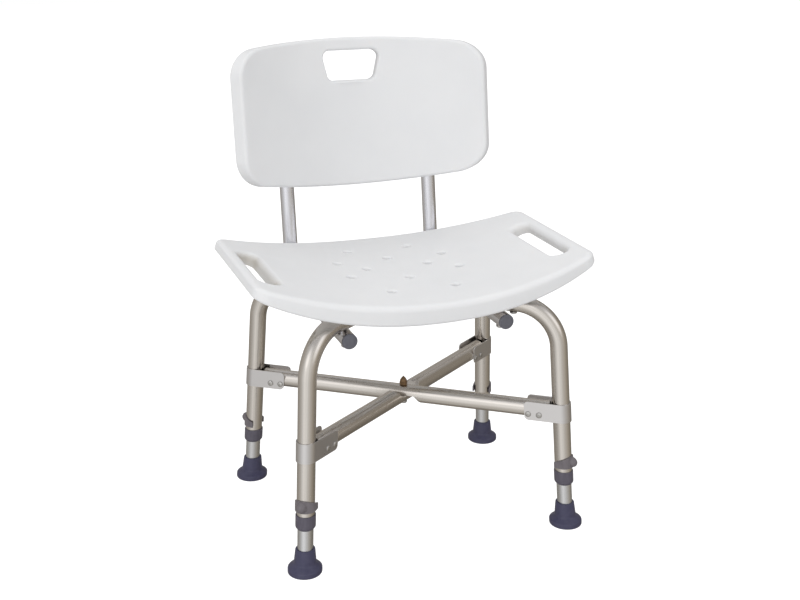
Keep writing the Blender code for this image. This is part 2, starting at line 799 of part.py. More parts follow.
def acorn_nut(place):
    """A domed nut with a blind bore."""
    bore = bore_round(BOLT_RADIUS, HOLE_SIDES)
    bore_end = ACORN_HEIGHT - ACORN_CROWN
    inside = [(0.0, bore_end), (bore, bore_end - ACORN_BORE_CONE), (bore, 0.0)]
    outside = [(ACORN_RADIUS, 0.0), (ACORN_RADIUS, ACORN_HEX_HEIGHT)]
    outside += dome_profile(ACORN_DOME_RADIUS, ACORN_HEX_HEIGHT, ACORN_HEIGHT)
    return placed_mesh(turned(inside + outside, HOLE_SIDES), place, UP, "acorn_nut")


# Back tubes


BACK_UP = Vector((0.0, BACK_LEAN, 1.0)).normalized()
BACK_NORMAL = Vector((0.0, 1.0, -BACK_LEAN)).normalized()


def back_point(x, along, behind):
    """A point by its place across, its distance up the lean and its distance behind the tubes' axes."""
    return Vector((x, BACK_TUBE_Y, SEAT_TOP)) + along * BACK_UP + behind * BACK_NORMAL


def back_tube(side_x):
    """A tube from inside the backrest down behind the seat and forward under the leg frames."""
    x = side_x * BACK_TUBE_HALF_SPACING
    down = (BACK_RUN_HEIGHT - SEAT_TOP) / BACK_UP.z
    elbow = back_point(x, down, 0.0)
    corners = [back_point(x, BACK_TUBE_TOP, 0.0), elbow, Vector((x, BACK_TUBE_FRONT, BACK_RUN_HEIGHT))]
    path = rounded_path(corners, BACK_BEND_RADIUS, BEND_STEPS)
    mesh = finish_mesh(tube(path, BACK_TUBE_RADIUS, BACK_TUBE_WALL), "back_tube")
    cutter = bmesh.new()
    reach = BACK_TUBE_RADIUS + GAP
    for side_y in (-1, 1):
        crossing = back_tube_crossing("fr")
        centre = Vector((x, side_y * abs(crossing.y), BACK_RUN_HEIGHT))
        add_rod(cutter, centre - reach * UP, centre + reach * UP, BOLT_RADIUS + HOLE_CLEARANCE)
    for along in BACKREST_SCREW_PLACES:
        hole_end = back_point(x, along, reach)
        add_rod(cutter, back_point(x, along, 0.0), hole_end, BACKREST_SCREW_RADIUS + HOLE_CLEARANCE)
    return combine(mesh, finish_mesh(cutter, "holes"), "DIFFERENCE")


def back_tube_cap(side_x):
    """A plastic cap: a domed head on the tube's end, with a plug inside it."""
    plug = BACK_TUBE_RADIUS - BACK_TUBE_WALL - CAP_PLUG_CLEARANCE
    profile = [(0.0, -CAP_PLUG), (plug, -CAP_PLUG), (plug, GAP), (BACK_TUBE_RADIUS, GAP)]
    profile += dome_profile(BACK_TUBE_RADIUS, GAP + CAP_SIDE, GAP + CAP_HEAD)
    bm = turned(profile, TUBE_SIDES)
    place = Vector((side_x * BACK_TUBE_HALF_SPACING, BACK_TUBE_FRONT, BACK_RUN_HEIGHT))
    return placed_mesh(bm, place, (0.0, -1.0, 0.0), "back_tube_cap")


# Moulded plates


def bowed_outline(half, low, low_bow, high, high_bow, corner):
    """Points with outward normals round a plate whose two long edges bow out and whose ends are straight."""
    def edge(x, level, bow, sign):
        height = level + sign * bow * (1.0 - (x / half) ** 2)
        slope = -sign * bow * 2.0 * x / half ** 2
        normal = Vector((-slope * sign, sign, 0.0)).normalized()
        return Vector((x, height, 0.0)), normal

    def edge_end(level, bow, sign):
        x = half - corner
        for _ in range(CORNER_SEARCH_ROUNDS):
            _, normal = edge(x, level, bow, sign)
            x = half - corner + corner * normal.x
        return x

    low_end = edge_end(low, low_bow, -1)
    high_end = edge_end(high, high_bow, 1)
    right = [edge(low_end * index / EDGE_STEPS, low, low_bow, -1) for index in range(EDGE_STEPS + 1)]
    point, normal = right[-1]
    centre = point - corner * normal
    start = math.atan2(normal.y, normal.x)
    for index in range(1, CORNER_STEPS + 1):
        angle = start * (1.0 - index / CORNER_STEPS)
        outward = Vector((math.cos(angle), math.sin(angle), 0.0))
        right.append((centre + corner * outward, outward))
    point, normal = edge(high_end, high, high_bow, 1)
    centre = point - corner * normal
    stop = math.atan2(normal.y, normal.x)
    for index in range(CORNER_STEPS):
        angle = stop * index / CORNER_STEPS
        outward = Vector((math.cos(angle), math.sin(angle), 0.0))
        right.append((centre + corner * outward, outward))
    for index in range(EDGE_STEPS, -1, -1):
        right.append(edge(high_end * index / EDGE_STEPS, high, high_bow, 1))
    left = [(Vector((-p.x, p.y, 0.0)), Vector((-n.x, n.y, 0.0))) for p, n in right[-2:0:-1]]
    return right + left


def inset_ring(outline, inset, height):
    """The outline drawn in by an inset, at a height."""
    return [point - inset * normal + Vector((0.0, 0.0, height)) for point, normal in outline]


def cut_into_strips(bm, half, width):
    """Cut a plate across at even steps, so that it can bend."""
    count = max(2, round(2.0 * half / width))
    for index in range(1, count):
        place = (-half + 2.0 * half * index / count, 0.0, 0.0)
        parts = list(bm.verts) + list(bm.edges) + list(bm.faces)
        bmesh.ops.bisect_plane(bm, geom=parts, plane_co=place, plane_no=(1.0, 0.0, 0.0), dist=TINY)


def bend_mesh(mesh, rule):
    """Move every point of a mesh by a rule."""
    for vertex in mesh.vertices:
        vertex.co = rule(vertex.co)


def rounded_polygon(corners, radius, steps):
    """A closed outline with rounded corners, and its outward normals, counter-clockwise."""
    outline = []
    count = len(corners)
    for index, corner in enumerate(corners):
        before = (Vector(corner) - Vector(corners[index - 1])).normalized()
        after = (Vector(corners[(index + 1) % count]) - Vector(corner)).normalized()
        turn = before.angle(after)
        start_normal = Vector((before.y, -before.x))
        inset = radius * math.tan(turn / 2.0)
        centre = Vector(corner) - inset * before - radius * start_normal
        start_angle = math.atan2(start_normal.y, start_normal.x)
        for step in range(steps + 1):
            angle = start_angle + turn * step / steps
            normal = Vector((math.cos(angle), math.sin(angle), 0.0))
            outline.append((Vector((centre.x, centre.y, 0.0)) + radius * normal, normal))
    return outline


def flared_cutter(bm, outline, flare, flare_depth, thickness):
    """Add a cutter that is wider by a flare at the top face, which is at z = 0."""
    rings = [
        inset_ring(outline, -flare * (1.0 + FLARE_OVERSHOOT), flare_depth * FLARE_OVERSHOOT),
        inset_ring(outline, -flare * ROUND_MIDDLE, -flare_depth * ROUND_MIDDLE),
        inset_ring(outline, 0.0, -flare_depth),
        inset_ring(outline, 0.0, -thickness - GAP),
    ]
    loft(bm, rings)


# Seat


def seat_rise(x):
    """How far the seat's surface stands above its lowest line."""
    return SEAT_RISE * (abs(x) / SEAT_RISE_REACH) ** SEAT_RISE_POWER


def seat_depth_share(x):
    """How deep the seat is at a place along it, as a share of its depth in the middle."""
    lost = 1.0 - SEAT_END_THICKNESS / SEAT_THICKNESS
    return 1.0 - lost * (abs(x) / SEAT_HALF_LENGTH) ** SEAT_THINNING_POWER


def seat_slope(x):
    """How steeply the seat's surface rises at a place along it."""
    steepness = SEAT_RISE_POWER * SEAT_RISE / SEAT_RISE_REACH
    return math.copysign(steepness * (abs(x) / SEAT_RISE_REACH) ** (SEAT_RISE_POWER - 1.0), x)


def bent_seat_point(flat):
    """Bend a flat seat point up along its length; its depth stays square to the surface, and thins out."""
    slope = seat_slope(flat.x)
    depth = -flat.z * seat_depth_share(flat.x) / math.hypot(1.0, slope)
    return Vector((flat.x + slope * depth, flat.y, SEAT_TOP + seat_rise(flat.x) - depth))


def seat_plate():
    """The flat plate with its rounded rim and the deep skirt under its edge."""
    outline = bowed_outline(
        SEAT_HALF_LENGTH, SEAT_FRONT, SEAT_FRONT_BOW, SEAT_REAR, SEAT_REAR_BOW, SEAT_CORNER,
    )
    edge = SEAT_EDGE_ROUND
    foot = SEAT_SKIRT_ROUND
    rings = [
        inset_ring(outline, edge, 0.0),
        inset_ring(outline, edge * ROUND_MIDDLE, -edge * ROUND_MIDDLE),
        inset_ring(outline, 0.0, -edge),
        inset_ring(outline, 0.0, foot - SEAT_THICKNESS),
        inset_ring(outline, foot * ROUND_MIDDLE, foot * ROUND_MIDDLE - SEAT_THICKNESS),
        inset_ring(outline, foot, -SEAT_THICKNESS),
        inset_ring(outline, SEAT_SKIRT, -SEAT_THICKNESS),
        inset_ring(outline, SEAT_SKIRT + SEAT_SKIRT_DRAFT, -SEAT_WEB),
    ]
    bm = bmesh.new()
    loft(bm, rings)
    cut_into_strips(bm, SEAT_HALF_LENGTH, SEAT_STRIP)
    return finish_mesh(bm, "seat")


def slot_outline(side_x, margin=0.0):
    """A hand slot, wider all round by a margin: two straight sides and two round ends."""
    half = SLOT_WIDTH / 2.0 + margin
    x = side_x * SLOT_X
    end = SLOT_LENGTH / 2.0 + margin
    corners = ((x - half, -end), (x + half, -end), (x + half, end), (x - half, end))
    return rounded_polygon(corners, half - GAP, CORNER_STEPS)


def slot_rims():
    """The rims that make the hand slots deeper than the seat's web."""
    bm = bmesh.new()
    for side_x in (-1, 1):
        outline = slot_outline(side_x, SLOT_RIM_WALL)
        loft(bm, [inset_ring(outline, 0.0, -SEAT_WEB / 2.0), inset_ring(outline, 0.0, -SLOT_RIM_DEPTH)])
    return finish_mesh(bm, "slot_rims")


def drain_cutter(bm, x, y):
    """Add the cutter of one drain hole with a small countersink."""
    outline = []
    for index in range(HOLE_SIDES):
        angle = 2.0 * math.pi * index / HOLE_SIDES
        normal = Vector((math.cos(angle), math.sin(angle), 0.0))
        outline.append((Vector((x, y, 0.0)) + DRAIN_RADIUS * normal, normal))
    rings = [
        inset_ring(outline, -DRAIN_FLARE * (1.0 + FLARE_OVERSHOOT), DRAIN_FLARE * FLARE_OVERSHOOT),
        inset_ring(outline, 0.0, -DRAIN_FLARE),
        inset_ring(outline, 0.0, -SEAT_WEB - GAP),
    ]
    loft(bm, rings)


def seat():
    """The seat: plate, rimmed hand slots, drain holes, and four bosses that stand on the leg frames."""
    cutter = bmesh.new()
    for side_x in (-1, 1):
        flared_cutter(cutter, slot_outline(side_x), SLOT_FLARE, SLOT_FLARE_DEPTH, SLOT_RIM_DEPTH)
    for x, y in DRAIN_PLACES:
        for side_x in ((-1, 1) if x else (1,)):
            drain_cutter(cutter, side_x * x, y)
    plate = combine(seat_plate(), slot_rims(), "UNION")
    mesh = combine(plate, finish_mesh(cutter, "openings"), "DIFFERENCE")
    bend_mesh(mesh, bent_seat_point)
    bosses = bmesh.new()
    holes = bmesh.new()
    foot = RUN_HEIGHT + TUBE_RADIUS + GAP
    hole_radius = SEAT_SCREW_RADIUS + HOLE_CLEARANCE
    for corner in CORNERS:
        place = boss_point(corner)
        web_middle = SEAT_TOP + seat_rise(place.x) - SEAT_WEB / 2.0
        base = Vector((place.x, place.y, foot))
        add_rod(bosses, base, Vector((place.x, place.y, web_middle)), BOSS_RADIUS, TUBE_SIDES)
        hole_top = foot + SEAT_SCREW_DEPTH + GAP
        add_rod(holes, base - GAP * UP, Vector((place.x, place.y, hole_top)), hole_radius)
    mesh = combine(mesh, finish_mesh(bosses, "bosses"), "UNION")
    return combine(mesh, finish_mesh(holes, "holes"), "DIFFERENCE")


def seat_screw(corner):
    """A screw from under the leg frame up into its seat boss."""
    below = RUN_HEIGHT - TUBE_RADIUS - GAP
    place = boss_point(corner)
    foot = RUN_HEIGHT + TUBE_RADIUS + GAP
    length = foot + SEAT_SCREW_DEPTH - below
    bm = bolt_mesh(SEAT_SCREW_HEAD_RADIUS, SEAT_SCREW_HEAD, SEAT_SCREW_RADIUS, length)
    return placed_mesh(bm, Vector((place.x, place.y, below)), UP, "seat_screw")


# Backrest


def panel_point(flat):
    """Bend a flat panel point (across, up, -depth) round the sitter's back."""
    x = flat.x
    depth = -flat.z
    slope = -2.0 * PANEL_CURVE_DEPTH * x / PANEL_HALF_WIDTH ** 2
    size = math.hypot(1.0, slope)
    across_shift = -slope / size * depth
    behind = PANEL_SETBACK - PANEL_CURVE_DEPTH * (x / PANEL_HALF_WIDTH) ** 2 + depth / size
    return back_point(x + across_shift, flat.y, behind)


def backrest_panel():
    """The curved panel with its hand cut-out and two sockets for the back tubes."""
    outline = bowed_outline(PANEL_HALF_WIDTH, PANEL_BOTTOM, PANEL_BOW, PANEL_TOP, PANEL_BOW, PANEL_CORNER)
    edge = PANEL_EDGE_ROUND
    rings = [
        inset_ring(outline, edge, 0.0),
        inset_ring(outline, edge * ROUND_MIDDLE, -edge * ROUND_MIDDLE),
        inset_ring(outline, 0.0, -edge),
        inset_ring(outline, 0.0, edge - PANEL_THICKNESS),
        inset_ring(outline, edge * ROUND_MIDDLE, edge * ROUND_MIDDLE - PANEL_THICKNESS),
        inset_ring(outline, edge, -PANEL_THICKNESS),
    ]
    bm = bmesh.new()
    loft(bm, rings)
    cut_into_strips(bm, PANEL_HALF_WIDTH, PANEL_STRIP)
    plate = finish_mesh(bm, "panel")
    corners = (
        (-CUTOUT_BOTTOM_HALF + CUTOUT_FLARE, CUTOUT_BOTTOM + CUTOUT_FLARE),
        (CUTOUT_BOTTOM_HALF - CUTOUT_FLARE, CUTOUT_BOTTOM + CUTOUT_FLARE),
        (CUTOUT_TOP_HALF - CUTOUT_FLARE, CUTOUT_TOP - CUTOUT_FLARE),
        (-CUTOUT_TOP_HALF + CUTOUT_FLARE, CUTOUT_TOP - CUTOUT_FLARE),
    )
    cutter = bmesh.new()
    opening = rounded_polygon(corners, CUTOUT_CORNER - CUTOUT_FLARE, CORNER_STEPS)
    flared_cutter(cutter, opening, CUTOUT_FLARE, CUTOUT_FLARE_DEPTH, PANEL_THICKNESS)
    mesh = combine(plate, finish_mesh(cutter, "cutout"), "DIFFERENCE")
    bend_mesh(mesh, panel_point)
    sockets = bmesh.new()
    bores = bmesh.new()
    screw_holes = bmesh.new()
    bore_top = BACK_TUBE_TOP + SOCKET_TOP_GAP
    wall = SOCKET_RADIUS - BACK_TUBE_RADIUS - GAP
    for side_x in (-1, 1):
        x = side_x * BACK_TUBE_HALF_SPACING
        low = back_point(x, SOCKET_BOTTOM, 0.0)
        add_rod(sockets, low, back_point(x, bore_top + wall, 0.0), SOCKET_RADIUS, TURNED_SIDES)
        bore_start = back_point(x, PANEL_BOTTOM - PANEL_BOW - SOCKET_RADIUS, 0.0)
        bore = bore_round(BACK_TUBE_RADIUS, TURNED_SIDES)
        add_rod(bores, bore_start, back_point(x, bore_top, 0.0), bore, TURNED_SIDES)
        for along in BACKREST_SCREW_PLACES:
            start = back_point(x, along, 0.0)
            end = back_point(x, along, SOCKET_RADIUS + GAP)
            add_rod(screw_holes, start, end, BACKREST_SCREW_RADIUS + HOLE_CLEARANCE)
    mesh = combine(mesh, finish_mesh(sockets, "sockets"), "UNION")
    mesh = combine(mesh, finish_mesh(bores, "bores"), "DIFFERENCE")
    return combine(mesh, finish_mesh(screw_holes, "screw_holes"), "DIFFERENCE")


def backrest_screw(side_x, along):
    """A screw from behind through the socket's wall into the back tube."""
    place = back_point(side_x * BACK_TUBE_HALF_SPACING, along, SOCKET_RADIUS + GAP)
    bm = bolt_mesh(
        BACKREST_SCREW_HEAD_RADIUS, BACKREST_SCREW_HEAD, BACKREST_SCREW_RADIUS, BACKREST_SCREW_LENGTH,
    )
    return placed_mesh(bm, place, -BACK_NORMAL, "backrest_screw")


# Assembly


def make_parent(name, parent=None, location=(0.0, 0.0, 0.0), turn=0.0):
    """An empty that places what is under it."""
    empty = bpy.data.objects.new(name, None)
    bpy.context.scene.collection.objects.link(empty)
    empty.parent = parent
    empty.location = location
    empty.rotation_euler = (0.0, 0.0, turn)
    return empty


def centre_on_origin(bench):
    """Move the whole bench so that the origin lies under the middle of its outer box."""
    bpy.context.view_layer.update()
    points = [
        item.matrix_world @ vertex.co
        for item in bpy.data.objects if item.type == "MESH"
        for vertex in item.data.vertices
    ]
    middle_x = (min(p.x for p in points) + max(p.x for p in points)) / 2.0
    middle_y = (min(p.y for p in points) + max(p.y for p in points)) / 2.0
    bench.location = (-middle_x, -middle_y, 0.0)
    bpy.context.view_layer.update()


def main():
    """Build the bench."""
    for item in list(bpy.data.objects):
        bpy.data.objects.remove(item)

    white = material("white_plastic", (0.80, 0.80, 0.79), 0.38)
    champagne = material("anodised_aluminium", (0.72, 0.67, 0.60), 0.30, 1.0)
    bright = material("bright_aluminium", (0.75, 0.75, 0.76), 0.26, 1.0)
    rubber = material("blue_grey_rubber", (0.045, 0.045, 0.085), 0.60)
    clip_plastic = material("purple_grey_plastic", (0.085, 0.080, 0.105), 0.50)
    cap_plastic = material("grey_plastic", (0.14, 0.14, 0.17), 0.45)
    steel = material("plated_steel", (0.62, 0.61, 0.60), 0.28, 1.0)
    brass = material("brown_brass", (0.38, 0.26, 0.15), 0.35, 1.0)

    bench = make_parent("bench")
    add_object("seat", seat(), white, bench)
    add_object("backrest_panel", backrest_panel(), white, bench)

    # The frame whose run keeps its top lies over the other one
    frames = (("leg_frame_upper", "fr", "bl", 1), ("leg_frame_lower", "fl", "br", -1))
    for name, first, second, wall_side in frames:
        add_object(name, leg_frame(first, second, wall_side), champagne, bench)
    bars = (("brace_bar_upper", "bl", "fr", 1), ("brace_bar_lower", "fl", "br", -1))
    for name, first, second, wall_side in bars:
        add_object(name, brace_bar(first, second, wall_side), champagne, bench)

    extension, tip, collar, clip = leg_extension(), foot_tip(), leg_collar(), locking_clip()
    for corner, (side_x, side_y) in CORNERS.items():
        place = (side_x * FOOT_X, side_y * FOOT_Y, 0.0)
        foot = make_parent("foot_" + corner, bench, place, LEG_TURNS[corner])
        add_object("leg_extension_" + corner, extension, champagne, foot)
        add_object("foot_tip_" + corner, tip, rubber, foot)
        add_object("leg_collar_" + corner, collar, clip_plastic, foot)
        add_object("locking_clip_" + corner, clip, clip_plastic, foot)
        add_object("brace_bracket_" + corner, brace_bracket(corner), bright, bench)
        for number, reach in enumerate(RIVET_REACHES, 1):
            add_object(f"bracket_rivet_{corner}_{number}", bracket_rivet(corner, reach), steel, bench)
        add_object("seat_screw_" + corner, seat_screw(corner), steel, bench)

    # The back tubes are bolted under both leg frames
    top_of_run = RUN_HEIGHT + TUBE_RADIUS + GAP
    under_back_run = BACK_RUN_HEIGHT - BACK_TUBE_RADIUS - GAP
    tube_bolt_length = top_of_run + NUT_HEIGHT + BOLT_TIP - under_back_run
    for corner in CORNERS:
        crossing = back_tube_crossing(corner)
        bolt = bolt_mesh(BOLT_HEAD_RADIUS, BOLT_HEAD_HEIGHT, BOLT_RADIUS, tube_bolt_length)
        bolt_place = Vector((crossing.x, crossing.y, under_back_run))
        nut_place = Vector((crossing.x, crossing.y, top_of_run))
        add_object("back_tube_bolt_" + corner, placed_mesh(bolt, bolt_place, UP, "bolt"), steel, bench)
        add_object("back_tube_nut_" + corner, nut_mesh(nut_place, UP), steel, bench)
    for side_name, side_x in (("left", -1), ("right", 1)):
        add_object("back_tube_" + side_name, back_tube(side_x), bright, bench)
        add_object("back_tube_cap_" + side_name, back_tube_cap(side_x), cap_plastic, bench)
        for level_name, along in zip(("low", "high"), BACKREST_SCREW_PLACES):
            screw = backrest_screw(side_x, along)
            add_object(f"backrest_screw_{side_name}_{level_name}", screw, steel, bench)

    # The two leg frames are bolted together where they cross, with the low head under the seat
    under_run = RUN_HEIGHT - TUBE_RADIUS - GAP
    frame_bolt_length = top_of_run - under_run + NUT_HEIGHT + BOLT_TIP
    frame_bolt = bolt_mesh(BOLT_HEAD_RADIUS, LOW_HEAD_HEIGHT, BOLT_RADIUS, frame_bolt_length)
    down = -UP
    bolt_place = Vector((0.0, 0.0, top_of_run))
    add_object("frame_bolt", placed_mesh(frame_bolt, bolt_place, down, "bolt"), steel, bench)
    add_object("frame_nut", nut_mesh(Vector((0.0, 0.0, under_run)), down), steel, bench)

    # The brace bars are bolted together where they cross, with a domed nut on top
    under_bars = BAR_HEIGHT - BAR_RADIUS - GAP
    over_bars = BAR_HEIGHT + BAR_RADIUS + GAP
    brace_bolt_length = over_bars + ACORN_HEX_HEIGHT - under_bars
    brace_bolt = bolt_mesh(BOLT_HEAD_RADIUS, BOLT_HEAD_HEIGHT, BOLT_RADIUS, brace_bolt_length)
    bolt_place = Vector((0.0, 0.0, under_bars))
    add_object("brace_bolt", placed_mesh(brace_bolt, bolt_place, UP, "bolt"), steel, bench)
    add_object("brace_nut", acorn_nut(Vector((0.0, 0.0, over_bars))), brass, bench)

    centre_on_origin(bench)


main()
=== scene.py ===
"""Looks of the bath bench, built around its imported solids.

Every piece is made in the same frame as the solids and stands for the node of its own name. Metres, +Z up.
"""

import json
import math

import bmesh
import bpy
from mathutils import Matrix, Vector


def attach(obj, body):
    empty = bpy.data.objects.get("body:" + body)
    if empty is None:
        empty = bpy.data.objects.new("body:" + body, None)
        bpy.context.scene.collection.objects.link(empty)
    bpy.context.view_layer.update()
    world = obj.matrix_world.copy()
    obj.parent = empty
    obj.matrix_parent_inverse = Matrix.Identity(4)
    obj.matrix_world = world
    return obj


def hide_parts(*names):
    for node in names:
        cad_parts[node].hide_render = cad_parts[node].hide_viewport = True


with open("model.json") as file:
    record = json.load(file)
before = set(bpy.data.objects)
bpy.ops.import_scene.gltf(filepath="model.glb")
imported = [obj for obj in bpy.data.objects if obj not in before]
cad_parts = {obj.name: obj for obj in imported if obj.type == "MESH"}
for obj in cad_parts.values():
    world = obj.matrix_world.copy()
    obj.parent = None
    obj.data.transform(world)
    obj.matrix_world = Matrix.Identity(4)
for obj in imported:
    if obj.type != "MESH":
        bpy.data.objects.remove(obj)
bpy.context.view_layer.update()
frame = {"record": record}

# The soles' mounts give the places of the feet
SOLES = {mount["name"][-2:]: Vector(mount["pos_m"]) for mount in frame["record"]["mounts"]}
FOOT_X = SOLES["fr"].x
FOOT_Y = (SOLES["br"].y - SOLES["fr"].y) / 2.0
SHIFT = Vector((0.0, (SOLES["br"].y + SOLES["fr"].y) / 2.0, 0.0))

# Clearances between pieces, and how far an opening's round begins over the face that it cuts
GAP = 0.0003
HOLE_CLEARANCE = 0.0003
OVER_FACE = GAP / 10.0

# Legs
LEAN_X = 0.0543
LEAN_Y = 0.0693
TUBE_RADIUS = 0.0127
TUBE_WALL = 0.0012
RUN_HEIGHT = 0.336
LEG_BEND_RADIUS = 0.065

# Brace bars
BAR_RADIUS = 0.0127
BAR_WALL = 0.0015
BAR_HEIGHT = 0.178
BAR_END_REACH = 0.017

# Pressed flats where two tubes cross
PRESS_MARGIN = 0.0010
PRESS_RAMP = 0.012

# Leg extensions
EXTENSION_RADIUS = 0.0111
EXTENSION_WALL = 0.0012
EXTENSION_LENGTH = 0.214
HOLE_PITCH = 0.0254
HOLE_COUNT = 5
LOCK_HOLE_RADIUS = 0.0031

# Foot tips, with the angles of their rounds in degrees
TIP_HEIGHT = 0.035
TIP_TOP_RADIUS = 0.0139
TIP_WAIST_RADIUS = 0.0157
TIP_WAIST_HEIGHT = 0.016
TIP_WAIST_FILLET = 0.0040
TIP_WAIST_ARC = (-122.0, -180.0)
TIP_FLANGE_RADIUS = 0.0242
TIP_FLANGE_HEIGHT = 0.0065
TIP_FLANGE_ROUND = 0.0022
TIP_FLANGE_ARC = (0.0, 62.0)
TIP_SOLE_BEVEL = 0.0018
TIP_SOLE_ARC = (-72.0, 0.0)
TIP_MOUTH_BEVEL = 0.0010
TIP_FLOOR = 0.007

# Collars
COLLAR_BOTTOM = 0.065
COLLAR_HEIGHT = 0.021
COLLAR_RADIUS = 0.0142
COLLAR_LIP = 0.004
COLLAR_TAPER = 0.0020
COLLAR_BEVEL = 0.0008

# Locking clips
CLIP_BOTTOM = 0.0925
CLIP_THUMB_HEIGHT = 0.0175
CLIP_ARM_HEIGHT = 0.0085
CLIP_WALL = 0.0020
CLIP_ARM_LENGTH = 0.0080
CLIP_TAB_REACH = 0.0075
CLIP_TAB_WIDTH = 0.0135
CLIP_TAB_HEIGHT = 0.0160
CLIP_TAB_DIVISIONS = {"u_segments": 32, "v_segments": 20}
PEG_HEIGHT = 0.1010
PEG_RADIUS = 0.0028

# Brackets and rivets
BRACKET_WALL = 0.0016
BRACKET_HEIGHT = 0.028
BRACKET_REACH = 0.052
BRACKET_CORNER = {"offset": 0.006, "segments": 8, "profile": 0.5}
BRACKET_BEVEL = 0.0004
RIVET_REACHES = (0.030, 0.046)
RIVET_DROP = 0.005
RIVET_RADIUS = 0.0025
RIVET_HEAD_RADIUS = 0.0045
RIVET_HEAD_HEIGHT = 0.0016
RIVET_DOME_ARC = (0.0, 66.0)
RIVET_EYE_RADIUS = 0.0013
RIVET_EYE_DEPTH = 0.0010
RIVET_EYE_FLOOR = (0.9, 0.5)

# Back tubes and their caps
BACK_TUBE_RADIUS = 0.0111
BACK_TUBE_WALL = 0.0012
BACK_TUBE_HALF_SPACING = 0.1172
BACK_TUBE_Y = 0.194
BACK_LEAN = 0.146
BACK_BEND_RADIUS = 0.050
BACK_TUBE_FRONT = -0.1035
BACK_TUBE_TOP = 0.2355
CAP_HEAD = 0.0035
CAP_SIDE = 0.0015
CAP_DOME_ARC = (0.0, 84.0)
CAP_DOME_STEPS = 10
CAP_PLUG = 0.012
CAP_PLUG_CLEARANCE = 0.0003

# Seat, with slots and drains that flare at the top
SEAT_HALF_LENGTH = 0.2468
SEAT_TOP = 0.368
SEAT_RISE = 0.0442
SEAT_RISE_REACH = 0.260
SEAT_RISE_POWER = 2.17
SEAT_FRONT = -0.122
SEAT_FRONT_BOW = 0.0313
SEAT_REAR = 0.1365
SEAT_REAR_BOW = 0.0535
SEAT_CORNER = 0.024
SEAT_THICKNESS = 0.0287
SEAT_END_THICKNESS = 0.0165
SEAT_THINNING_POWER = 3.0
SEAT_WEB = 0.016
SEAT_EDGE_ROUND = 0.009
SEAT_SKIRT = 0.011
SEAT_SKIRT_DRAFT = 0.003
SEAT_SKIRT_ROUND = 0.0045
SLOT_X = 0.216
SLOT_WIDTH = 0.026
SLOT_LENGTH = 0.150
SLOT_FLARE = 0.008
SLOT_FLARE_DEPTH = 0.013
SLOT_RIM_WALL = 0.0045
SLOT_RIM_DEPTH = 0.0245
DRAIN_RADIUS = 0.0055
DRAIN_FLARE = 0.0034
DRAIN_FLARE_DEPTH = 0.0065
DRAIN_PLACES = (
    (0.0, 0.073), (0.0, -0.025),
    (0.0475, 0.119), (0.0475, 0.027), (0.0475, -0.082),
    (0.083, 0.059), (0.083, -0.009),
)
BOSS_PAST_BACK_TUBE = 0.019
BOSS_RADIUS = 0.011
SEAT_SCREW_DEPTH = 0.018

# Backrest
PANEL_HALF_WIDTH = 0.192
PANEL_SETBACK = 0.0076
PANEL_CURVE = 0.075
PANEL_THICKNESS = 0.024
PANEL_BOTTOM = 0.101
PANEL_TOP = 0.2945
PANEL_BOW = 0.0179
PANEL_CORNER = 0.045
PANEL_EDGE_ROUND = 0.005
CUTOUT_BOTTOM = 0.242
CUTOUT_TOP = 0.297
CUTOUT_TOP_HALF = 0.0515
CUTOUT_BOTTOM_HALF = 0.041
CUTOUT_CORNER = 0.0155
CUTOUT_FLARE = 0.0045
CUTOUT_FLARE_DEPTH = 0.006
SOCKET_RADIUS = 0.0142
SOCKET_BOTTOM = 0.093
SOCKET_TOP_GAP = 0.0005
BACKREST_SCREW_PLACES = {"low": 0.125, "high": 0.205}
BACKREST_SCREW_LENGTH = 0.011

# Screws and bolts: the head's radius and height, and the shank's radius
SEAT_SCREW_RADIUS = 0.0024
SEAT_SCREW = (0.0055, 0.003, SEAT_SCREW_RADIUS)
BACKREST_SCREW_RADIUS = 0.0021
BACKREST_SCREW = (0.0045, 0.0024, BACKREST_SCREW_RADIUS)
BOLT_RADIUS = 0.0029
BOLT = (0.0056, 0.0038, BOLT_RADIUS)
LOW_BOLT = (0.0056, 0.0018, BOLT_RADIUS)
BOLT_TIP = 0.0025

# Their rounds, points and cross recesses, as shares of a height or radius, and the nuts
HEAD_BRIM = 0.6
HEAD_BRIM_ARC = (-90.0, 0.0)
SHANK_POINT = 0.35
RECESS_ARMS = 4
RECESS_SPAN = 0.56
RECESS_WIDTH = 0.13
RECESS_DEPTH = 0.62
RECESS_TAPER = 0.6
NUT_RADIUS = 0.0058
NUT_HEIGHT = 0.005
NUT_SIDES = 6
NUT_CHAMFER_DROP = 0.12
NUT_CHAMFER_FLAT = 0.86
ACORN_RADIUS = 0.0062
ACORN_HEX_HEIGHT = 0.0055
ACORN_HEIGHT = 0.0135
ACORN_DOME_RADIUS = 0.0053
ACORN_TIP_RADIUS = 0.0006
ACORN_ROUNDNESS = 1.7
ACORN_STEPS = 12

# How finely shapes are divided, and what counts as sharp, none, straight, square and upright
TUBE_SIDES = 48
TURNED_SIDES = 56
CORE_SIDES = 60
FASTENER_SIDES = 28
HOLE_SIDES = 28
BEND_STEPS = 22
ROUND_STEPS = 5
CORNER_STEPS = 14
CORNER_TRIES = 40
EDGE_STEPS = 30
SEAT_STRIP = 0.008
PANEL_STRIP = 0.007
SMOOTH_ANGLE = math.radians(32.0)
BEVEL_STEPS = 2
TINY = 1e-6
STRAIGHT_TURN = 1e-3
NEARLY_SQUARE = 0.99
NEARLY_UPRIGHT = 0.9

UP = Vector((0.0, 0.0, 1.0))
CORNERS = {"fl": (-1, -1), "fr": (1, -1), "bl": (-1, 1), "br": (1, 1)}
SIDES = {"left": -1, "right": 1}

